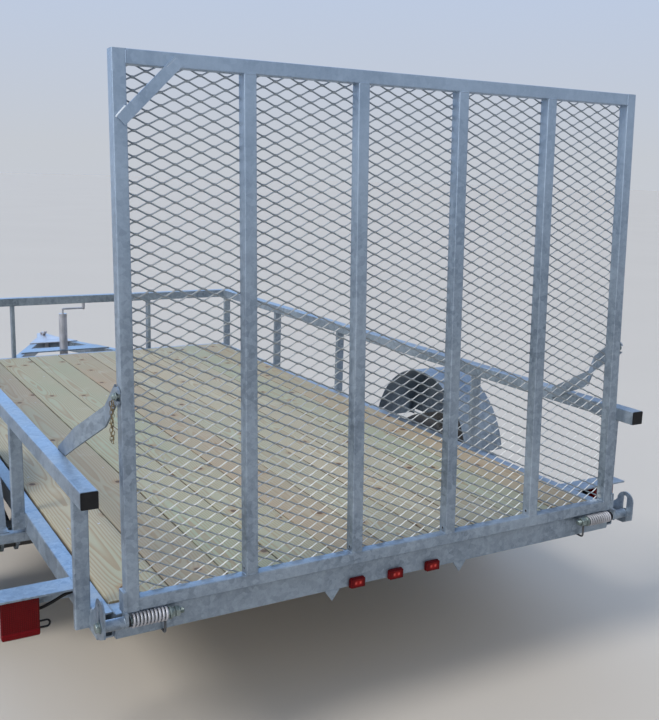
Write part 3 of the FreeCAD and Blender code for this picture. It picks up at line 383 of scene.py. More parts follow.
def galvanized(name, dull, bright, bloom, metal, shade=None):
    """Zinc spangle as cells of slightly different brightness, under a cloudy dull bloom with drips. It is
    bluer high up, a painted reflection of the sky, and white round one place at the gate's right foot. shade
    names a point attribute of painted shade that darkens the zinc."""
    g = material_graph(name)
    warp = g.noise(9, 2, out=1)
    bent = g.add("VectorMath", warp, (0.02, 0.02, 0.02), g.place, setup={"operation": "MULTIPLY_ADD"})
    spangle = g.add("SeparateColor", g.cells(62, at=bent, out=1))
    small = g.add("SeparateColor", g.cells(150, at=bent, out=1))
    cloud = g.noise(3.2, 4).fade(0.35, 0.68)
    drip = g.streaks(28, 28, 3).fade(0.52, 0.75)
    specks = g.noise(240, 2).fade(0.55, 0.75)
    colour = g.mix(spangle * 0.6 + small * 0.25, dull, bright)
    colour = g.mix(cloud * 0.45, colour, bloom)
    colour = g.mix(drip * 0.3, colour, tuple(c * 1.15 for c in bloom))
    colour = g.mix(specks * 0.18, colour, tuple(c * 0.55 for c in dull))
    # painted sky reflection: the zinc turns bluer from 1.15 m up
    colour = g.mix(g.z.fade(1.15, 2.2) * 0.5, colour, (0.4, 0.53, 0.7))
    right, ahead, up = (place - at for place, at in zip((g.x, g.y, g.z), PATCH_AT))
    far = (right * right + ahead * ahead * 1.6 + up * up * 0.5).maths("SQRT")
    white = (1 - far.fade(0.03, 0.058)) * g.noise(70, 2).fade(0.42, 0.58)
    colour = g.mix(white, colour, (0.62, 0.66, 0.67))
    if shade:
        # painted shade on the mesh strands, read from the point attribute
        colour = g.mix(g.add("Attribute", setup={"attribute_name": shade}, out=2), colour, (0.17, 0.2, 0.22))
    rough = spangle * 0.12 + cloud * 0.14 + drip * 0.08 + 0.34
    height = g.noise(45) * 0.7 + g.noise(420, 2) * 0.12
    return g.surface(colour, rough, (height, 0.0006, 0.6), Metallic=metal - cloud * 0.18 - drip * 0.1)


def zinc_plate(g):
    """Bright plating with faint clouding and fine drawn lines."""
    cloud = g.noise(14).fade(0.3, 0.7)
    fine = g.streaks(900, 90, 90, 2)
    colour = g.mix(cloud, (0.36, 0.36, 0.38), (0.5, 0.5, 0.53))
    colour = g.mix(g.noise(60).fade(0.6, 0.75) * 0.4, colour, (0.42, 0.42, 0.44))
    return g.surface(colour, cloud * 0.12 + fine * 0.12 + 0.36, (fine, 0.0002, 0.4), Metallic=0.55)


def dark_steel(g):
    """Dark sprung steel: mill scale with worn lighter patches and a little dust on top."""
    wear = g.noise(22, 5, 0.65).fade(0.5, 0.72)
    dust = g.noise(5).fade(0.4, 0.7)
    colour = g.mix(wear, (0.05, 0.055, 0.062), (0.15, 0.155, 0.165))
    colour = g.mix(dust * 0.35, colour, (0.22, 0.2, 0.17))
    scale = g.noise(160, 4)
    return g.surface(colour, dust * 0.2 + 0.5, (scale, 0.0005, 0.7), Metallic=wear * 0.5 + 0.15)


def black_plastic(g):
    """Moulded black plastic with a fine grain and a trace of dust."""
    dust = g.noise(18, 4).fade(0.45, 0.8)
    colour = g.mix(dust * 0.5, (0.006, 0.006, 0.007), (0.028, 0.027, 0.026))
    grain = g.cells(900)
    return g.surface(colour, dust * 0.25 + 0.42, (grain, 0.0002, 0.5), Specular_IOR_Level=0.22)


def red_lens(g):
    """Deep red moulding: small square prisms seen through a glossy skin. The tail lamps' lower lip is
    brighter, and each small lamp on the sill has a painted highlight in the middle, with two brighter
    painted highlight spots side by side."""
    across, upright = ((place * 170).maths("FRACT").maths("PINGPONG", 0.5) for place in (g.x, g.z))
    prism = across.maths("MINIMUM", upright) * 2
    depth = g.noise(30, 2).fade(0.3, 0.7)
    colour = g.mix(prism, (0.06, 0, 0.001), (0.16, 0.001, 0.003))
    colour = g.mix(depth * 0.5, colour, (0.11, 0.001, 0.002))
    colour = g.mix((1 - g.z.fade(LIP_TOP, LIP_TOP + 0.0025)) * 0.25, colour, (0.24, 0.002, 0.005))
    step = (g.x - (ID_MIDDLE - ID_STEP / 2)) / ID_STEP
    aside = abs(step.maths("FRACT") - 0.5) * ID_STEP
    height = abs(g.z - SPOT_HEIGHT)
    on_sill = 1 - abs(g.x).fade(0.3, 0.4)
    # painted highlight: a brighter red in the middle of each sill lamp, though the lamps are off
    glow = (1 - aside.fade(0.004, 0.022)) * (1 - height.fade(0.002, 0.014)) * on_sill
    colour = g.mix(glow * 0.7, colour, (0.36, 0.008, 0.006))
    # painted highlights: two bright spots side by side on each sill lamp
    spot = (1 - abs(aside - 0.0085).fade(0.001, 0.006)) * (1 - height.fade(0.001, 0.007)) * on_sill
    colour = g.mix(spot * 0.75, colour, (0.68, 0.1, 0.08))
    return g.surface(colour, depth * 0.08 + 0.14, (prism, 0.0008, 0.5), Coat_Weight=0.05,
                     Coat_Roughness=0.06, Specular_IOR_Level=0.12)


def tyre_rubber(g):
    """Black rubber with a grey bloom, worn a little paler on the tread, with fine moulding lines."""
    bloom = g.noise(12, 4).fade(0.35, 0.75)
    up, ahead = g.z - AXLE_Z, g.y - AXLE_Y
    radius = (up * up + ahead * ahead).maths("SQRT")
    tread = radius.fade(TREAD_INNER, TREAD_OUTER)
    lines = (radius * 260).maths("FRACT").maths("PINGPONG", 0.5) * (1 - tread)
    colour = g.mix(bloom, (0.013, 0.013, 0.014), (0.038, 0.037, 0.036))
    colour = g.mix(tread * 0.6, colour, (0.055, 0.053, 0.05))
    height = g.noise(420, 2) * 0.5 + lines * 0.35
    return g.surface(colour, bloom * 0.1 + tread * 0.1 + 0.62, (height, 0.0006, 0.6))


def pine(g):
    """Treated pine boards. Each board's rings are circles about a pith that wanders below it, so the
    bands run long with pointed arches; knots are dark cores that push the bands aside."""
    place = (g.x - BOARDS_LEFT) / BOARD_PITCH
    board = place.maths("FLOOR")
    chance = g.add("TexWhiteNoise", setup={"noise_dimensions": "1D"}, W=board, out=1)
    r1, r2, r3 = g.parts("SeparateColor", chance)
    local = (place - board - 0.5) * BOARD_PITCH
    along = g.y + r2 * 37
    squash_x, squash_y = 5.2, 1.75
    spot = g.vector(local * squash_x + r1 * 9, along * squash_y, board * 3.7)
    knot_place = g.cells(1, 0.95, at=spot, out=2)
    gap = g.add("VectorMath", spot, knot_place, setup={"operation": "SUBTRACT"})
    gap_x, gap_y, _ = g.parts("SeparateXYZ", gap)
    gap_x, gap_y = gap_x / squash_x, gap_y / squash_y
    knot = (gap_x * gap_x + gap_y * gap_y * 0.72).maths("SQRT") + g.noise(60, 2) * 0.006 - 0.003
    push = (knot * -26).maths("EXPONENT") * 0.017
    pith = g.noise(1, 1.5, at=g.vector(board * 7.1, along * 0.55, r3 * 5))
    wander = g.noise(1, 2, at=g.vector(0, along * 1.3, board * 3.3)) - 0.5
    side = local + (r3 - 0.5) * 0.09 + wander * 0.03
    depth = pith * 0.085 + 0.004
    ring = (side * side + depth * depth).maths("SQRT") + push
    ring = ring + g.streaks(60, 2.5, 60, 2) * 0.0012
    wave = (ring * 118).maths("FRACT")
    late = wave.fade(0.35, 0.9) * (1 - wave.fade(0.93, 1))
    fibre = g.streaks(420, 7, 420, 3, 0.6)
    green = g.noise(1, at=g.vector(g.x * 3, g.y * 0.8, board)).fade(0.38, 0.7)
    tone = g.mix(r1, (0.34, 0.305, 0.215), (0.46, 0.405, 0.275))
    tone = g.mix((r2 - 0.35).fade(0, 0.5) * 0.75, tone, (0.4, 0.29, 0.18))
    tone = g.mix(green * 0.42 + (r3 - 0.6).fade(0, 0.3) * 0.4, tone, (0.3, 0.345, 0.225))
    tone = g.mix(late * 0.72, tone, (0.3, 0.2, 0.095))
    tone = g.mix(abs(fibre - 0.5) * 0.6, tone, (0.26, 0.22, 0.14))
    heart = 1 - knot.fade(0.0085, 0.0145)
    halo = 1 - knot.fade(0.012, 0.036)
    tone = g.mix(halo * 0.55, tone, (0.32, 0.19, 0.085))
    tone = g.mix(heart * 0.92, tone, (0.1, 0.052, 0.025))
    dirt = g.noise(1, 2, at=g.vector(board, along * 2.6, 0)).fade(0.25, 0.6)
    tone = g.mix(abs(local).fade(0.0915, 0.095) * dirt * 0.85, tone, (0.085, 0.06, 0.038))
    end_grain = (g.y - DECK_REAR).maths("LESS_THAN", 0.0012)
    tone = g.mix(end_grain * 0.65, tone, (0.24, 0.17, 0.08))
    scuff = g.noise(7, 5, 0.6).fade(0.55, 0.8)
    tone = g.mix(scuff * 0.22, tone, (0.55, 0.53, 0.46))
    height = late * 0.5 + fibre * 0.35 - heart * 0.5
    rough = 0.72 - late * 0.1 + scuff * 0.08
    return g.surface(tone, rough, (height, 0.0006, 0.7), Specular_IOR_Level=0.3)


def chain_yellow(g):
    """Yellow chromate on the small chain: gold with greener and browner clouds."""
    cloud = g.noise(90).fade(0.3, 0.7)
    colour = g.mix(cloud, (0.16, 0.11, 0.05), (0.32, 0.25, 0.14))
    return g.surface(colour, cloud * 0.15 + 0.3, (g.noise(600), 0.0002, 0.5), Metallic=0.85)


def hole_shade(g):
    """The unlit inside of a vent hole, clouded a little paler in places."""
    colour = g.mix(g.noise(120), (0.006, 0.007, 0.008), (0.03, 0.032, 0.036))
    return g.surface(colour, g.noise(80) * 0.2 + 0.75)


MATERIALS = {
    "galvanized_steel": galvanized("galvanized_steel", (0.144, 0.183, 0.23), (0.322, 0.384, 0.455),
                                   (0.362, 0.418, 0.47), 0.7),
    **{f.__name__: made(f) for f in (zinc_plate, dark_steel, black_plastic, red_lens, tyre_rubber, pine)}}
CHAIN, HOLE = made(chain_yellow), made(hole_shade)
ROD = galvanized("rod_zinc", (0.12, 0.155, 0.15), (0.34, 0.4, 0.385), (0.42, 0.48, 0.46), 0.85)
# mesh zinc: a paler, less metallic copy of the galvanized steel, painted light that stands in for the sunlit
# strands
MESH = galvanized("mesh_zinc_painted_lit", (0.66, 0.66, 0.63), (0.9, 0.88, 0.82), (0.92, 0.89, 0.82), 0.2, "painted_strand_shade")
for row in frame["record"]["subparts"]:
    for holder in frame["nodes"][row["node"]].material_slots:
        holder.material = MATERIALS[row["material_slot"]]


# Expanded mesh on the gate
MESH_HALF = 0.936
MESH_LOW, MESH_HIGH = 0.032, 1.542
LONG_WAY, SHORT_WAY = 0.0762, 0.034
STRAND, SHEET, TILT = 0.0038, 0.0034, math.radians(-48)
BOND = 0.0085


def expanded_mesh():
    """Ribbons side by side. Ribbon j swings between row j and row j + 1 of the bonds: its height is a wave
    that is flat over each bond and slopes between, and its neighbours are half a mesh out of step. The
    second result is painted shade at each point, which its material reads: darkest on the falling
    strands, darker higher up on the rising strands, and in between on the bonds."""
    row, half = SHORT_WAY / 2, LONG_WAY / 2
    count = int((MESH_HIGH - MESH_LOW - 0.004) / row)
    base = MESH_LOW + ((MESH_HIGH - MESH_LOW) - count * row) / 2
    cells = int(MESH_HALF / half) + 1
    marks = np.array([-BOND / 2, BOND / 2, half * 0.36, half * 0.64]) / half
    x = ((np.arange(-cells, cells + 1)[:, None] + marks[None]) * half).ravel()
    x = np.concatenate([[-MESH_HALF], x[np.abs(x) < MESH_HALF], [MESH_HALF]])
    flat = BOND / 2 / half
    phase = np.abs((x / half + 1) % 2 - 1)
    step = np.clip((phase - flat) / (1 - 2 * flat), 0, 1)
    swing = 0.82 * step + 0.18 * step * step * (3 - 2 * step)
    lean = np.array([math.sin(TILT), math.cos(TILT)])
    thick = np.array([math.cos(TILT), -math.sin(TILT)])
    j = np.arange(count)[:, None]
    s = np.where(j % 2 == 0, swing[None], 1 - swing[None])
    y = (1 - 2 * s) * STRAND / 2 * lean[0]
    z = base + (j + s) * row + (1 - 2 * s) * STRAND / 2 * lean[1]
    corners = np.array([(-1, -1), (1, -1), (1, 1), (-1, 1)]) / 2
    offset = corners[:, :1] * STRAND * 1.04 * lean + corners[:, 1:] * SHEET * thick
    v = xyz(x[:, None], GATE_FRONT + 0.0028 + y[..., None] + offset[:, 0], z[..., None] + offset[:, 1])
    one = np.array(carried(len(x), 4))
    faces = (np.arange(count)[:, None, None] * len(x) * 4 + one[None]).reshape(-1, 4).tolist()
    # painted shade: falling strands darkest, rising strands darker towards the top of the gate, flat bonds
    # in between
    slope = np.gradient(s, axis=1)
    higher = np.clip((z - 0.36) / 0.25, 0, 1) * 0.5
    painted_strand_shade = np.where(slope < -1e-4, 0.85, np.where(slope > 1e-4, higher, 0.55))
    return (stood(v), faces), np.repeat(painted_strand_shade.ravel(), 4)


mesh_part, painted_strand_shade_values = expanded_mesh()
mesh_object = piece("expanded_mesh", mesh_part, "gate", "galvanized_steel",
                    ("gate_mesh_rising", "gate_mesh_falling"), 30, MESH)
layer = mesh_object.data.attributes.new("painted_strand_shade", "FLOAT", "POINT")
layer.data.foreach_set("value", painted_strand_shade_values.astype(np.float32))


# Coil springs on the gate hinge
SPRING_RADIUS, SPRING_WIRE, SPRING_TURNS, SPRING_PITCH = 0.0172, 0.0037, 10, 0.01144
SPRING_LENGTH = SPRING_TURNS * SPRING_PITCH
SPRING_IN = GATE_HALF - 0.007 - SPRING_LENGTH


def gate_springs():
    """On each side a helix of round wire about the hinge axis, wound close, and its inner end, which is
    turned down and hooked under the sill."""
    start = SPRING_IN + SPRING_WIRE
    t = np.linspace(0, SPRING_TURNS * 2 * math.pi, SPRING_TURNS * 20 + 1)
    x = start + (SPRING_LENGTH - 2 * SPRING_WIRE) * t / t[-1]
    helix = xyz(x, SPRING_RADIUS * np.cos(t), SPRING_RADIUS * np.sin(t))
    foot, bend = FRAME_BOTTOM - 0.004 - HINGE[2], 0.009
    upper = xyz(start, SPRING_RADIUS, np.linspace(foot + bend, -0.004, 8)[1:])
    turn = np.linspace(0, math.pi / 2, 7)
    corner = xyz(start, SPRING_RADIUS + bend * (1 - np.sin(turn)), foot + bend * (1 - np.cos(turn)))
    hook = xyz(start, np.linspace(0.0594, SPRING_RADIUS + bend + 0.002, 5), foot)
    leg = np.concatenate([hook, corner, upper])
    across = (1, 0, 0.02)
    rows = (tube(helix, SPRING_WIRE, 12, across), tube(leg, SPRING_WIRE - 0.0001, 10, across))
    return [pair(moved(part, HINGE)) for part in rows]


coils, legs = gate_springs()
piece("gate_spring_coils", coils, "chassis", "zinc_plate", ("gate_springs",), 60)
# painted shade: the legs are the same wire as the coils but take the dark steel, for the shade they hang in
# below the coils
piece("gate_spring_legs", legs, "chassis", "dark_steel", ("gate_springs",), 60)


def hinge_shade_rings():
    """A plain black ring with eased edges at the outer end of each spring: painted shade in the gap between
    the coil and the gate's lug.
    """
    section = [(0, 0.0096), (0, 0.015), (0.0006, 0.0162), (0.0058, 0.0162), (0.0064, 0.015),
               (0.0064, 0.0096)]
    return pair(moved(turned(section, 28, closed=True), HINGE + (GATE_HALF - 0.0067, 0, 0)))


# painted shade: black rings fill the shaded gap between each coil and the gate's lug
piece("hinge_shade_rings", hinge_shade_rings(), "chassis", "black_plastic")


# Deck: rounded planks with a slight cup, and their screws
def planks():
    """Each plank is a rounded section carried along Y; its top dips in the middle and its edges waver."""
    turn = np.linspace(0, math.pi / 2, 4)
    soft, half = 0.0045, BOARD_WIDTH / 2
    top = np.stack([np.linspace(-1, 1, 9) * (half - soft), np.zeros(9)], 1)
    shoulder = np.stack([half - soft + soft * np.sin(turn), -soft + soft * np.cos(turn)], 1)[1:]
    low = np.array([[half, -BOARD_THICK + 0.003], [half - 0.003, -BOARD_THICK]])
    loop = np.concatenate([top, shoulder, low, low[::-1] * (-1, 1), shoulder[::-1] * (-1, 1)])
    upper = loop[:, 1] > -0.02
    y = np.linspace(DECK_REAR + 0.001, DECK_FRONT - 0.001, 60)
    parts = []
    for x in BOARD_MIDDLES:
        cup = RNG.uniform(0.0002, 0.0009)
        waver = 0.0006 * np.sin(y * RNG.uniform(0.8, 1.6) + RNG.uniform(0, 6))
        rise = 0.0004 * np.sin(y * RNG.uniform(1, 2.2) + RNG.uniform(0, 6)) - 0.0004
        z = DECK_TOP + loop[:, 1] - upper * cup * (1 - (loop[:, 0] / half) ** 2)
        v = xyz(x + loop[:, 0] * 0.9985 + waver[:, None] * upper, y[:, None], z + rise[:, None] * upper)
        parts.append((v, carried(len(y), len(loop))))
    return merged(parts)


piece("deck_planks", planks(), "chassis", "pine", ("deck_boards",), 30)


def deck_screws():
    """Two countersunk heads in each board over each support: a low dome with a small sunken drive."""
    head = turned([(-0.001, 0.0048), (0.0002, 0.0046), (0.0005, 0.0034), (0.0005, 0.0016),
                   (-0.001, 0.001)], 10)
    bay = (DECK_FRONT - DECK_REAR) / 6
    supports = [DECK_REAR + 0.019, DECK_FRONT - 0.019] + [DECK_REAR + bay * k for k in range(1, 6)]
    shape = (BOARD_COUNT, len(supports), 2)
    x = BOARD_MIDDLES[:, None, None] + (-0.056, 0.056) + RNG.normal(0, 0.004, shape)
    y = np.array(supports)[:, None] + RNG.normal(0, 0.004, shape)
    upward = np.array([[0, 0, -1], [0, 1, 0], [1, 0, 0]], float)
    return repeated((head[0] @ upward.T, head[1]), xyz(x, y, DECK_TOP - 0.0011))


piece("deck_screws", deck_screws(), "chassis", "zinc_plate")


# Tyres
def tyre():
    """A turned section with a bulging wall and grooved crown; the shape function cuts the cross grooves,
    as deeper strips of angle in the shoulder ribs and slanted sipes in the middle ribs."""
    wall = [(0.058, 0.166), (0.059, 0.172), (0.0594, 0.18), (0.064, 0.185), (0.0745, 0.196),
            (0.0825, 0.213), (0.0868, 0.233), (0.088, 0.243), (0.0876, 0.253), (0.0872, 0.2545),
            (0.0872, 0.258), (0.0866, 0.26), (0.0845, 0.272), (0.081, 0.284), (0.0772, 0.293),
            (0.0735, 0.2985), (0.069, 0.3016), (0.064, 0.3032), (0.0565, 0.3037)]
    crown = []
    for groove in (0.044, 0.016):
        crown += [(groove + 0.0052, 0.3042), (groove + 0.004, 0.298), (groove - 0.004, 0.298),
                  (groove - 0.0052, 0.3046), (groove - 0.0105, 0.3047)]
    half = wall + crown + [(0, 0.305)]
    pitches = 60

    def tread(a, r, s):
        step = (a * pitches / (2 * math.pi) + s * 14) % 1
        shoulder = (np.abs(s) > 0.049) & (r > 0.292) & (step < 0.2)
        sipe = (np.abs(s) < 0.04) & (r > 0.3) & (((step + 0.5) % 1) < 0.18)
        return r - shoulder * 0.0052 - sipe * 0.0036

    return moved(turned(half + [(-s, r) for s, r in half[-2::-1]], 360, tread, closed=True),
                 (WHEEL_X, AXLE_Y, AXLE_Z))


def wheel_nuts():
    """Five wheel nuts and stud ends on the hub circle, and the valve stem through the rim."""
    ring, stem_ring, stem_angle = 0.052, 0.138, 2.2
    angle = np.arange(5) * 2 * math.pi / 5 + 0.35
    stud = turned([(0.01, 0.006), (0.0215, 0.006), (0.0228, 0.005), (0.0228, 0)], 16)
    places = xyz(WHEEL_X + 0.0042, AXLE_Y + ring * np.sin(angle), AXLE_Z + ring * np.cos(angle))
    stem = turned([(0, 0.0055), (0.012, 0.0052), (0.016, 0.004), (0.028, 0.0038), (0.029, 0.003),
                   (0.029, 0)], 14)
    stem_at = (WHEEL_X + 0.018, AXLE_Y + stem_ring * math.sin(stem_angle),
               AXLE_Z + stem_ring * math.cos(stem_angle))
    return repeated(merged([nut(0.0205, 0.0165), stud]), places), moved(stem, stem_at)


right_tyre = tyre()
nuts, stem = wheel_nuts()
for side, flip in (("right", lambda part: part), ("left", mirrored)):
    body = "wheel_" + side
    piece("tyre_tread_" + side, flip(right_tyre), body, "tyre_rubber", ("tyre_" + side,), 28)
    piece("wheel_nuts_" + side, flip(nuts), body, "zinc_plate")
    piece("valve_" + side, flip(stem), body, "black_plastic")


# Welds: rippled beads laid in the corners
def beads(rows):
    """Round beads with a rippling radius along straight joints. A row is axis, start, stop, radius: the
    bead runs from start until the coordinate with that number is stop, or to the point stop where the axis
    is an ellipsis."""
    parts = []
    for axis, start, stop, radius in rows:
        start = np.array(start, float)
        end = start.copy()
        end[axis] = stop
        length = np.linalg.norm(end - start)
        count = max(6, int(length / 0.0021))
        t = np.linspace(0, 1, count)
        ripple = np.sin(t * length / 0.0046 * 2 * math.pi + RNG.uniform(0, 6))
        swell = 1 + 0.16 * ripple + RNG.normal(0, 0.04, count)
        swell = swell * np.clip(np.minimum(t, 1 - t) * 12 + 0.55, 0, 1)
        up = (0, 0, 1) if abs(unit(end - start)[2]) < 0.9 else (1, 0, 0)
        parts.append(tube(start + t[:, None] * (end - start), radius * swell, 7, up))
    return merged(parts)


def gate_welds():
    """Beads round both ends of each upright and in the gate's four corners."""
    low, high, inner = GATE_FOOT + GATE_TUBE, GATE_TOP - GATE_TUBE, GATE_HALF - GATE_TUBE
    faces = (GATE_REAR + 0.0015, GATE_FRONT - 0.0015)
    near, far = GATE_REAR + 0.005, GATE_FRONT - 0.005
    rows = []
    for x in UPRIGHTS:
        for z in (low, high):
            rows += [(0, (x + 0.003, y, z), x + GATE_TUBE - 0.003, 0.0027) for y in faces]
            rows += [(1, (side, near, z), far, 0.0025) for side in (x, x + GATE_TUBE)]
    for x in (-inner, inner):
        for z0, z1 in ((GATE_FOOT + 0.003, low), (high, GATE_TOP - 0.003)):
            rows += [(2, (x, y, z0), z1, 0.0027) for y in faces]
        rows += [(1, (x, near, z), far, 0.0025) for z in (low, high)]
    return on_gate(beads(rows))


piece("gate_welds", gate_welds(), "gate", "galvanized_steel")


def mesh_tacks():
    """Low round welds that hold the mesh to each tube, about every 110 mm."""
    dab = turned([(-0.001, 0.0062), (0.0016, 0.006), (0.0036, 0.0044), (0.0044, 0.0018), (0.0044, 0)], 8)
    tall, across, half = np.arange(0.09, 1.5, 0.112), np.arange(-0.84, 0.85, 0.12), 0.019
    columns = [x + GATE_TUBE / 2 for x in UPRIGHTS] + [-GATE_HALF + half, GATE_HALF - half]
    x = np.concatenate([np.repeat(columns, len(tall)), np.tile(across, 2)])
    rails = np.repeat([GATE_FOOT + half, GATE_TOP - half], len(across))
    z = np.concatenate([np.tile(tall, len(columns)), rails])
    x = x + RNG.normal(0, 0.004, len(x))
    z = z + RNG.normal(0, 0.006, len(x))
    return on_gate(repeated(aimed(dab, (0, 1, 0)), xyz(x, GATE_FRONT + 0.0006, z)))


piece("mesh_tacks", mesh_tacks(), "gate", "galvanized_steel")


def frame_welds():
    """Beads round the posts, the sill's ends, the hinge plates, the lamp arms, the tabs, the fender bars
    and the tongue."""
    rows = []
    post_out, half_depth, post_foot, weld_top = FRAME_HALF + 0.045, 0.011, 0.536, FRAME_TOP - 0.003
    front_post, fender_bars, tab = (0.446, 0.468), (0.985, 1.875), (0.232, 0.28)
    plate_rear, plate_front, plate_low = 0.057 + SHIFT, 0.1 + SHIFT, 0.5425
    for y in POST_PLACES:
        rear, front = y + SHIFT - half_depth, y + SHIFT + half_depth
        for end in (rear, front):
            rows.append((2, (FRAME_HALF, end, post_foot), weld_top, 0.0028))
            rows.append((0, (FRAME_HALF + 0.004, end, RAIL_LOW), post_out, 0.0026))
        rows.append((1, (post_out, rear + 0.002, RAIL_LOW), front - 0.002, 0.0024))
    inner, sill = FRAME_HALF - SIDE_TUBE, SILL_REAR + 0.002
    arm_rear, arm_front = 0.254 + SHIFT, 0.334 + SHIFT
    rows += [(2, (inner, sill, FRAME_BOTTOM + 0.004), weld_top, 0.003),
             (1, (inner, SILL_REAR + 0.004, FRAME_TOP - 0.001), DECK_REAR, 0.0026),
             (1, (FRAME_HALF, arm_rear, FRAME_TOP - 0.006), arm_front + 0.003, 0.0028),
             (2, (FRAME_HALF, arm_front, FRAME_TOP - 0.064), FRAME_TOP - 0.008, 0.0026),
             (0, (tab[0], sill, FRAME_BOTTOM), tab[1], 0.0026),
             (1, (FRAME_HALF, plate_rear, plate_low), plate_front, 0.0026)]
    for x in front_post:
        rows.append((2, (x, FRAME_FRONT, post_foot), weld_top, 0.0028))
        rows.append((1, (x, FRAME_FRONT + 0.004, RAIL_LOW), FRAME_FRONT + 0.041, 0.0026))
    corner = FRAME_FRONT + 0.002
    rows.append((2, (FRAME_HALF, corner, RAIL_LOW + 0.004), RAIL_TOP - 0.004, 0.0026))
    rows.append((1, (FRAME_HALF - 0.003, corner + 0.002, RAIL_TOP - 0.0005), corner + 0.045, 0.0016))
    for y in fender_bars:
        rows.append((0, (FRAME_HALF - 0.046, y + SHIFT, FRAME_BOTTOM), FRAME_HALF - 0.003, 0.0026))
    nose_x, nose_y, slope = 0.07, 4.8884 + SHIFT, math.tan(math.radians(25))
    for y in (FRAME_FRONT + 0.001, DECK_FRONT - 0.001):
        x = nose_x + slope * (nose_y - y)
        rows.append((0, (x - 0.052, y, FRAME_BOTTOM), x - 0.004, 0.003))
    return pair(beads(rows))


piece("frame_welds", frame_welds(), "chassis", "galvanized_steel")


# Vent holes, low on the left face of each gate upright
def vents():
    """A dark round hole with a thin bright lip: a flat disc inside a low ring."""
    disc = turned([(0, 0.0046), (0.0003, 0.0044), (0.0003, 0)], 16)
    lip = turned([(0, 0.0058), (0.0006, 0.0054), (0.0007, 0.0049), (0.0003, 0.0045), (0, 0.0045)], 16,
                 closed=True)
    y, z = (GATE_REAR + GATE_FRONT) / 2, GATE_FOOT + GATE_TUBE + 0.017
    return [on_gate(mirrored(repeated(part, [(-x, y, z) for x in UPRIGHTS]))) for part in (disc, lip)]


hole_faces, hole_lips = vents()
piece("vent_holes", hole_faces, "gate", "galvanized_steel", material=HOLE)
piece("vent_lips", hole_lips, "gate", "galvanized_steel")


# Gate hinge
def hinge_hardware():
    """On each hinge rod, from the inside: a threaded tip, two nuts, a washer and a flanged bush inside the
    spring's end; outside the slotted plate, a washer and the rod's hexagon head."""
    inside, outside, rod = SPRING_IN, FRAME_HALF + 0.0066, 0.0095
    bush = [(-0.0065, 0.01), (-0.0065, 0.019), (-0.003, 0.0195), (-0.0012, 0.0188), (-0.0006, 0.0135),
            (0.004, 0.0134), (0.004, 0.01)]
    tip = stacked((threaded(0.02, rod - 0.0003), 0.007), (nut(0.029, 0.013), 0), (nut(0.027, 0.008), -0.009))
    bar = turned([(inside - 0.027, rod - 0.0008), (outside + 0.0009, rod - 0.0008)], 24)
    parts = stacked((aimed(tip, (-1, 0, 0)), inside - 0.019), (bar, 0),
                    (washer(0.0098, 0.0175, 0.0028), inside - 0.0095),
                    (turned(bush, 28, closed=True), inside), (washer(0.0098, 0.0178, 0.0024), outside),
                    (bolt_head(0.027, 0.01), outside + 0.0022))
    return on_gate(pair(parts))


piece("hinge_rods_detail", hinge_hardware(), "gate", "galvanized_steel", ("hinge_rods",), material=ROD)


def lug_welds():
    """Fillet beads that hold each lug to its stile and each sleeve to its lug."""
    x, ring_x, ring_radius, steps = GATE_HALF + 0.001, GATE_HALF + 0.0106, 0.0168, 96
    rows = [(2, (x, y, GATE_FOOT + 0.004), GATE_FOOT + 0.06, 0.0028) for y in (GATE_REAR, GATE_FRONT)]
    rows.append((1, (x, 0.004, GATE_FOOT + 0.0618), 0.034, 0.0026))
    turn = np.linspace(0, 2 * math.pi, steps + 1)[:-1]
    swell = 0.0022 * (1 + 0.12 * np.sin(turn * 24))
    ring = xyz(ring_x, ring_radius * np.cos(turn), ring_radius * np.sin(turn))
    return on_gate(pair(merged([beads(rows), tube(ring, swell, 7, (1, 0, 0), True)])))


piece("lug_welds", lug_welds(), "gate", "galvanized_steel")


def corner_bar_welds():
    """Beads along the upper edge of the flat bar across the gate's left corner, one at each end, in the pale
    painted-lit mesh zinc: a painted highlight on the bar's lit edge.
    """
    return on_gate(beads([(..., (-0.936, -0.002, 1.3764), (-0.9099, -0.002, 1.4062), 0.003),
                          (..., (-0.7977, -0.002, 1.5098), (-0.7685, -0.002, 1.5362), 0.003)]))


# painted highlight: the beads take the pale painted-lit mesh zinc to show the bar's lit upper edge
piece("corner_bar_welds", corner_bar_welds(), "gate", "galvanized_steel", material=MESH)


# Latch: pin with washer, nut and hanging chain
PIN = np.array([GATE_HALF, GATE_REAR + GATE_TUBE / 2, GATE_FOOT + 0.618])


def latch_hardware():
    """A stub on each stile with a weld collar, and outside the ear a thick washer and a nut."""
    stub = [(0, 0.01), (0.0008, 0.0086), (0.0018, 0.0072), (0.0018, 0.0068), (0.012, 0.0068)]
    parts = stacked((turned(stub, 24), 0), (washer(0.007, 0.0125, 0.0024), 0.0092),
                    (nut(0.016, 0.0075), 0.0116), (threaded(0.01, 0.0058), 0.0118))
    return on_gate(pair(moved(parts, PIN)))


piece("latch_pins_detail", latch_hardware(), "gate", "galvanized_steel", ("latch_pins",), material=ROD)

CHAIN_WIRE, LINK_LENGTH, LINK_WIDTH = 0.00105, 0.015, 0.008


def chain_link(length, width):
    """One link: a stadium, two half circles joined by straight sides, carried round by a round wire."""
    turn = np.linspace(-math.pi / 2, math.pi / 2, 7)
    r, straight = width / 2, (length - width) / 2
    right = np.stack([straight + r * np.cos(turn), r * np.sin(turn)], 1)
    loop = np.concatenate([right, -right])
    return tube(xyz(0, loop[:, 1], -loop[:, 0]), CHAIN_WIRE, 6, (1, 0, 0), True)


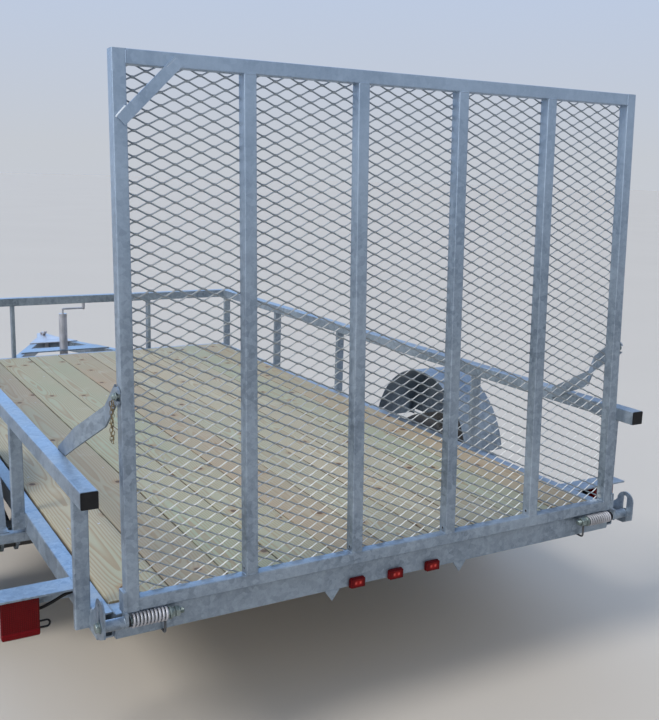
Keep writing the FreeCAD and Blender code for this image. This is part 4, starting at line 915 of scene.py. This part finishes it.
def latch_chain():
    """Two strands of small chain from the left ear's hole, joined by a link at their foot. Links step down
    by their inner length, each turned a quarter from the one above."""
    step = LINK_LENGTH - 2 * CHAIN_WIRE * 1.3
    out, top = 0.011, -0.012
    quarter = np.array([[0, -1, 0], [1, 0, 0], [0, 0, 1]], float)
    places, turns = [], []
    for y, count, start in ((0.006, 9, 0), (-0.006, 8, 0.5)):
        for i in range(count):
            sway = 0.0012 * math.sin(i * 0.9 + y * 300)
            places.append((out + sway, y + 0.0006 * math.sin(i * 1.7), top - (i + start) * step))
            turns.append(np.eye(3) if i % 2 else quarter)
    strands = repeated(chain_link(LINK_LENGTH, LINK_WIDTH), places, turns)
    lying = np.array([[1, 0, 0], [0, 0, 1], [0, -1, 0]], float)
    foot, faces = chain_link(0.019, 0.011)
    foot = moved((foot @ lying, faces), (out, 0, top - 8.55 * step))
    turn, eye = np.linspace(0, 2 * math.pi, 25)[:-1], 0.0095
    ring = xyz(0.009, eye * np.cos(turn), -eye + eye * np.sin(turn))
    whole = merged([strands, foot, tube(ring, 0.0013, 8, (1, 0, 0), True)])
    return mirrored(moved(whole, stood(PIN + (0.005, 0, 0)) + (0, 0.012, -0.012)))


piece("latch_chain", latch_chain(), "chassis", "zinc_plate", smooth=60, material=CHAIN)


# Lamps
def moulded_face(lo, hi, corner, relief, steps=48):
    """A lamp moulding. Its front is a grid pressed into a rectangle with round corners, where each point
    of a corner square goes to a quarter disc; relief(x, z) gives how far the front stands back, and the
    outline is then carried forward to the back, which is closed."""
    (x0, y0, z0), (x1, y1, z1) = lo, hi
    half, line = np.array([x1 - x0, z1 - z0]) / 2, np.linspace(-1, 1, steps)
    flat = np.stack(np.meshgrid(line, line, indexing="ij"), -1) * half
    over = np.clip((np.abs(flat) - half + corner) / corner, 0, 1)
    bent = np.minimum(np.abs(flat), half - corner) + corner * over * np.sqrt(1 - over[..., ::-1] ** 2 / 2)
    x, z = np.moveaxis(np.sign(flat) * bent, -1, 0)
    centre = np.array([(x0 + x1) / 2, 0, (z0 + z1) / 2])
    front = xyz(x, y0 + relief(x / half[0], z / half[1]), z) + centre
    index = np.arange(steps * steps).reshape(steps, steps)
    before = np.concatenate([index[:-1, 0], index[-1, :-1], index[:0:-1, -1], index[0, :0:-1]])
    edge = front[before]
    rows, faces, start = [front], quads(steps, steps), len(front)
    for y, inset in ((y0 + (y1 - y0) * 0.35, -0.0002), (y1 - 0.0015, 0), (y1, 0.0012)):
        ring = edge + (centre - edge) * (inset / np.abs(edge - centre).max())
        ring[:, 1] = y
        rows.append(ring)
        after = start + np.arange(len(edge))
        faces += np.stack([before, np.roll(before, -1), np.roll(after, -1), after], 1).tolist()
        before, start = after, start + len(edge)
    return np.concatenate(rows), faces + [before.tolist()]


def tail_relief(u, w):
    """A sloping rim round a slightly bulging lens with fine upright flutes, and a thick lip below."""
    edge = np.maximum(np.abs(u), np.abs(w))
    rim = np.clip((edge - 0.93) / 0.07, 0, 1) ** 2 * 0.0035
    bulge = (u * u + w * w) * 0.0011
    inside = np.clip((0.86 - edge) / 0.04, 0, 1)
    flute = inside * (w > -0.62) * 0.00025 * (1 + np.cos(u * 15 * math.pi))
    lip = 1 / (1 + np.exp((w + 0.66) * 60))
    groove = np.exp(-((w + 0.66) / 0.02) ** 2) * 0.0016
    return 0.0025 - lip * 0.0022 + rim + bulge + flute + groove


tail_face = moulded_face(TAIL_LOW, TAIL_HIGH, 0.009, tail_relief, 64)
piece("tail_lamp_lens", pair(tail_face), "chassis", "red_lens", ("tail_lamp_lenses",), 50)


def tail_backs():
    """A black housing with a flange, and a strain-relief boot for the lead."""
    (x0, _, z0), (x1, y1, z1) = TAIL_LOW, TAIL_HIGH
    in1, in2 = 0.003, 0.008
    flange = rounded_box((x0 + in1, y1 - 0.001, z0 + in1), (x1 - in1, y1 + 0.0055, z1 - in1 / 2), 0.008)
    body = rounded_box((x0 + in2, y1 + 0.004, z0 + in2), (x1 - in2, 0.334 + SHIFT, z1 - in2), 0.01, 6)
    boot = turned([(0, 0.0088), (0.003, 0.009), (0.006, 0.007), (0.009, 0.0076), (0.012, 0.0062),
                   (0.014, 0.0054), (0.014, 0)], 20)
    boot = aimed(boot, (-1, 0, 0), (x0 + 0.0085, 0.311 + SHIFT, 0.519))
    return pair(merged([flange, body, boot]))


piece("tail_lamp_housing", tail_backs(), "chassis", "black_plastic", ("tail_lamp_backs",))


def spare_loops():
    """A short spare wire bent back on itself beside each tail lamp's housing."""
    t = np.linspace(0, math.pi, 15)
    reach, half = 0.034, 0.0105
    arc = xyz(-reach - half * np.sin(t), 0, half * np.cos(t))
    ends = [(0.006, 0, half), (-0.008, 0, half)], [(-0.008, 0, -half), (0.006, 0, -half)]
    wire = tube(np.concatenate([ends[0], arc, ends[1]]), 0.0034, 8, (0, 1, 0))
    return pair(moved(wire, (TAIL_LOW[0] + 0.008, 0.297 + SHIFT, 0.4775)))


piece("spare_wire_loops", spare_loops(), "chassis", "black_plastic", smooth=60)


def id_relief(u, w):
    """A domed lens with a sunken star of eight facets in the middle."""
    angle = np.arctan2(w * 0.6, u)
    far = np.sqrt(u * u + w * w)
    star = np.abs((angle * 4 / math.pi) % 1 - 0.5) * 2
    middle = np.clip((0.62 - far) / 0.5, 0, 1)
    edge = np.clip((np.maximum(np.abs(u), np.abs(w)) - 0.8) / 0.2, 0, 1) ** 2
    return middle * (0.0008 + 0.0014 * star) + edge * 0.004


def id_lamps():
    """Three small lamps on the sill: a domed red lens on a thin base."""
    half, rear, front, low, high = 0.0285, 0.0196 + SHIFT, 0.03 + SHIFT, 0.5098, 0.5438
    lens = moulded_face((-half, rear, low), (half, front + 0.0015, high), 0.009, id_relief, 32)
    half, low, high = half + 0.0009, low - 0.0009, high + 0.0009
    lamp = merged([lens, rounded_box((-half, front, low), (half, SILL_REAR, high), 0.008)])
    return repeated(lamp, [(ID_MIDDLE + i * ID_STEP, 0, 0) for i in (-1, 0, 1)])


piece("id_lamp_lenses", id_lamps(), "chassis", "red_lens", ("id_lamps",), 50)

# Leads from the tail lamps into the side frames
LEAD_ROUTE = ((0.117, 0.06, 0.072), (0.098, 0.06, 0.07), (0.07, 0.058, 0.06), (0.046, 0.052, 0.046),
              (0.022, 0.043, 0.03), (0, 0.042, 0.026))
LEAD_DIAMETER, LEAD_LENGTH = 0.01, 0.1289


def lamp_lead(name, side):
    """A round lead on a quadratic curve steered by the route's points; the curve starts at the lamp."""
    data = bpy.data.curves.new(name, "CURVE")
    data.dimensions, data.bevel_depth = "3D", LEAD_DIAMETER / 2
    data.bevel_resolution, data.resolution_u, data.use_fill_caps = 3, 12, True
    data.materials.append(MATERIALS["black_plastic"])
    line = data.splines.new("NURBS")
    line.points.add(len(LEAD_ROUTE) - 1)
    places = [(side * (FRAME_HALF + out), 0.251 + ahead + SHIFT, FRAME_TOP - down)
              for out, ahead, down in LEAD_ROUTE]
    for point, place in zip(line.points, places):
        point.co = (*place, 1)
    line.order_u, line.use_endpoint_u = 3, True
    obj = placed(name, data)
    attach(obj, "chassis")
    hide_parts("lamp_leads")


lamp_lead("lamp_lead_right", 1)
lamp_lead("lamp_lead_left", -1)


# Bolts on the running gear
def gear_hardware():
    """Nuts with thread ends on the spring clamps, and heads and nuts on the spring eye bolts."""
    clamp_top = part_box("axle_clamps")[1][2] - 0.009
    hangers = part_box("spring_hangers")
    spring_x, spring_half = FRAME_HALF - SIDE_TUBE / 2, 0.0293
    stack = stacked((washer(0.0062, 0.0115, 0.0016), 0), (nut(0.018, 0.0098), 0.0016),
                    (threaded(0.01, 0.0058), 0.01))
    parts = [aimed(stack, (0, 0, 1), (spring_x + x, AXLE_Y + y, clamp_top))
             for x in (-0.0295, 0.0295) for y in (-0.0365, 0.0365)]
    eye_washer = washer(0.0082, 0.014, 0.002)
    outside = stacked((eye_washer, 0), (bolt_head(0.024, 0.0095), 0.002))
    inside = stacked((eye_washer, 0), (nut(0.024, 0.012), 0.002), (threaded(0.008, 0.0076), 0.013))
    eye_z = hangers[0][2] + 0.018
    for y in (hangers[0][1] + 0.035, hangers[1][1] - 0.035):
        parts.append(aimed(outside, (1, 0, 0), (spring_x + spring_half, y, eye_z)))
        parts.append(aimed(inside, (-1, 0, 0), (spring_x - spring_half, y, eye_z)))
    return pair(merged(parts))


piece("gear_bolts", gear_hardware(), "chassis", "zinc_plate")


# Camera, floor and light
FOCAL_PX, PICTURE_WIDTH, SENSOR_WIDTH = 935.55, 659, 36
CAMERA_AT = (-1.6926, -4.8904, 1.8333)
HEADING, PITCH, ROLL = 30.25, -11.38, 1.58


def rotation(axis, degrees):
    return Matrix.Rotation(math.radians(degrees), 4, axis)


camera = placed("camera", bpy.data.cameras.new("camera"))
camera.data.sensor_fit, camera.data.sensor_width = "HORIZONTAL", SENSOR_WIDTH
camera.data.lens = SENSOR_WIDTH * FOCAL_PX / PICTURE_WIDTH
camera.data.clip_start, camera.data.clip_end = 0.05, 400
turn = rotation("Z", -HEADING) @ rotation("X", 90 + PITCH) @ rotation("Z", ROLL)
camera.matrix_world = Matrix.Translation(CAMERA_AT) @ turn
bpy.context.scene.camera = camera


def floor():
    """A wide level pale ground: rings of points, close together near the middle."""
    spokes, level = 64, -0.0004
    r = np.concatenate([[0.02], np.geomspace(1, 180, 24)])[:, None]
    a = np.arange(spokes) * 2 * math.pi / spokes
    v = xyz(r * np.cos(a), r * np.sin(a), level)
    mesh = bpy.data.meshes.new("studio_floor")
    mesh.from_pydata(v.tolist(), [], quads(len(r), spokes, False, True) + [list(range(spokes))[::-1]])
    g = material_graph("studio_floor")
    shade = g.mix(g.noise(0.35, 2), (0.535, 0.485, 0.42), (0.57, 0.52, 0.45))
    mesh.materials.append(g.surface(shade, g.noise(2) * 0.1 + 0.85, Specular_IOR_Level=0.1))
    placed("studio_floor", mesh)


floor()


def light(name, kind, toward, place=(0, 0, 0), **settings):
    """A lamp that shines in one direction; a sun's angle makes it soft."""
    lamp = bpy.data.lights.new(name, kind)
    for key, value in settings.items():
        setattr(lamp, key, value)
    turn = Vector(toward).to_track_quat("-Z", "Y").to_matrix().to_4x4()
    placed(name, lamp).matrix_world = Matrix.Translation(place) @ turn


SOFT, WIDE, WIDEST = (math.radians(angle) for angle in (20, 40, 50))
light("soft_sun", "SUN", (0.68, 0.12, -0.7), energy=1.75, angle=SOFT, color=(1, 0.97, 0.92))
light("low_left_fill", "SUN", (0.88, 0.25, -0.26), energy=0.45, angle=WIDE, color=(1, 0.97, 0.94))
light("sky_sheen", "SUN", (-0.1, -0.9, -0.42), energy=0.75, angle=WIDEST, color=(0.3, 0.58, 1))
light("rear_fill", "AREA", (5.5, 7.5, -3.7), (-5.5, -9, 4.5), energy=120, shape="DISK", size=5,
      color=(0.93, 0.96, 1))


def studio_world():
    """Soft blue light from ahead and above, greyer from behind; the camera sees a plain pale backdrop."""
    world = bpy.data.worlds.new("studio")
    g = Graph(world, "Generated")

    def graded(part, low, high, first, second):
        """A colour that goes from first to second as one part of the direction rises from low to high."""
        return g.mix(g.add("MapRange", part, low, high), first, second)

    around = graded(g.y, -0.3, 0.6, (0.36, 0.4, 0.47), (0.46, 0.6, 0.9))
    glow = g.add("Background", graded(g.z, 0.25, 0.95, around, (0.62, 0.74, 0.98)))
    high = graded(g.y, -0.4, 0.5, (0.46, 0.52, 0.62), (0.42, 0.6, 0.95))
    backdrop = g.add("Background", graded(g.z, 0.02, 0.45, (0.56, 0.59, 0.64), high))
    direct = g.add("LightPath", out="Is Camera Ray")
    for kind in ("Is Glossy Ray", "Is Transmission Ray"):
        direct = direct.maths("MAXIMUM", g.add("LightPath", out=kind))
    g.add("OutputWorld", g.add("MixShader", direct, glow, backdrop))
    bpy.context.scene.world = world


studio_world()
bpy.context.scene.view_settings.view_transform = "Standard"
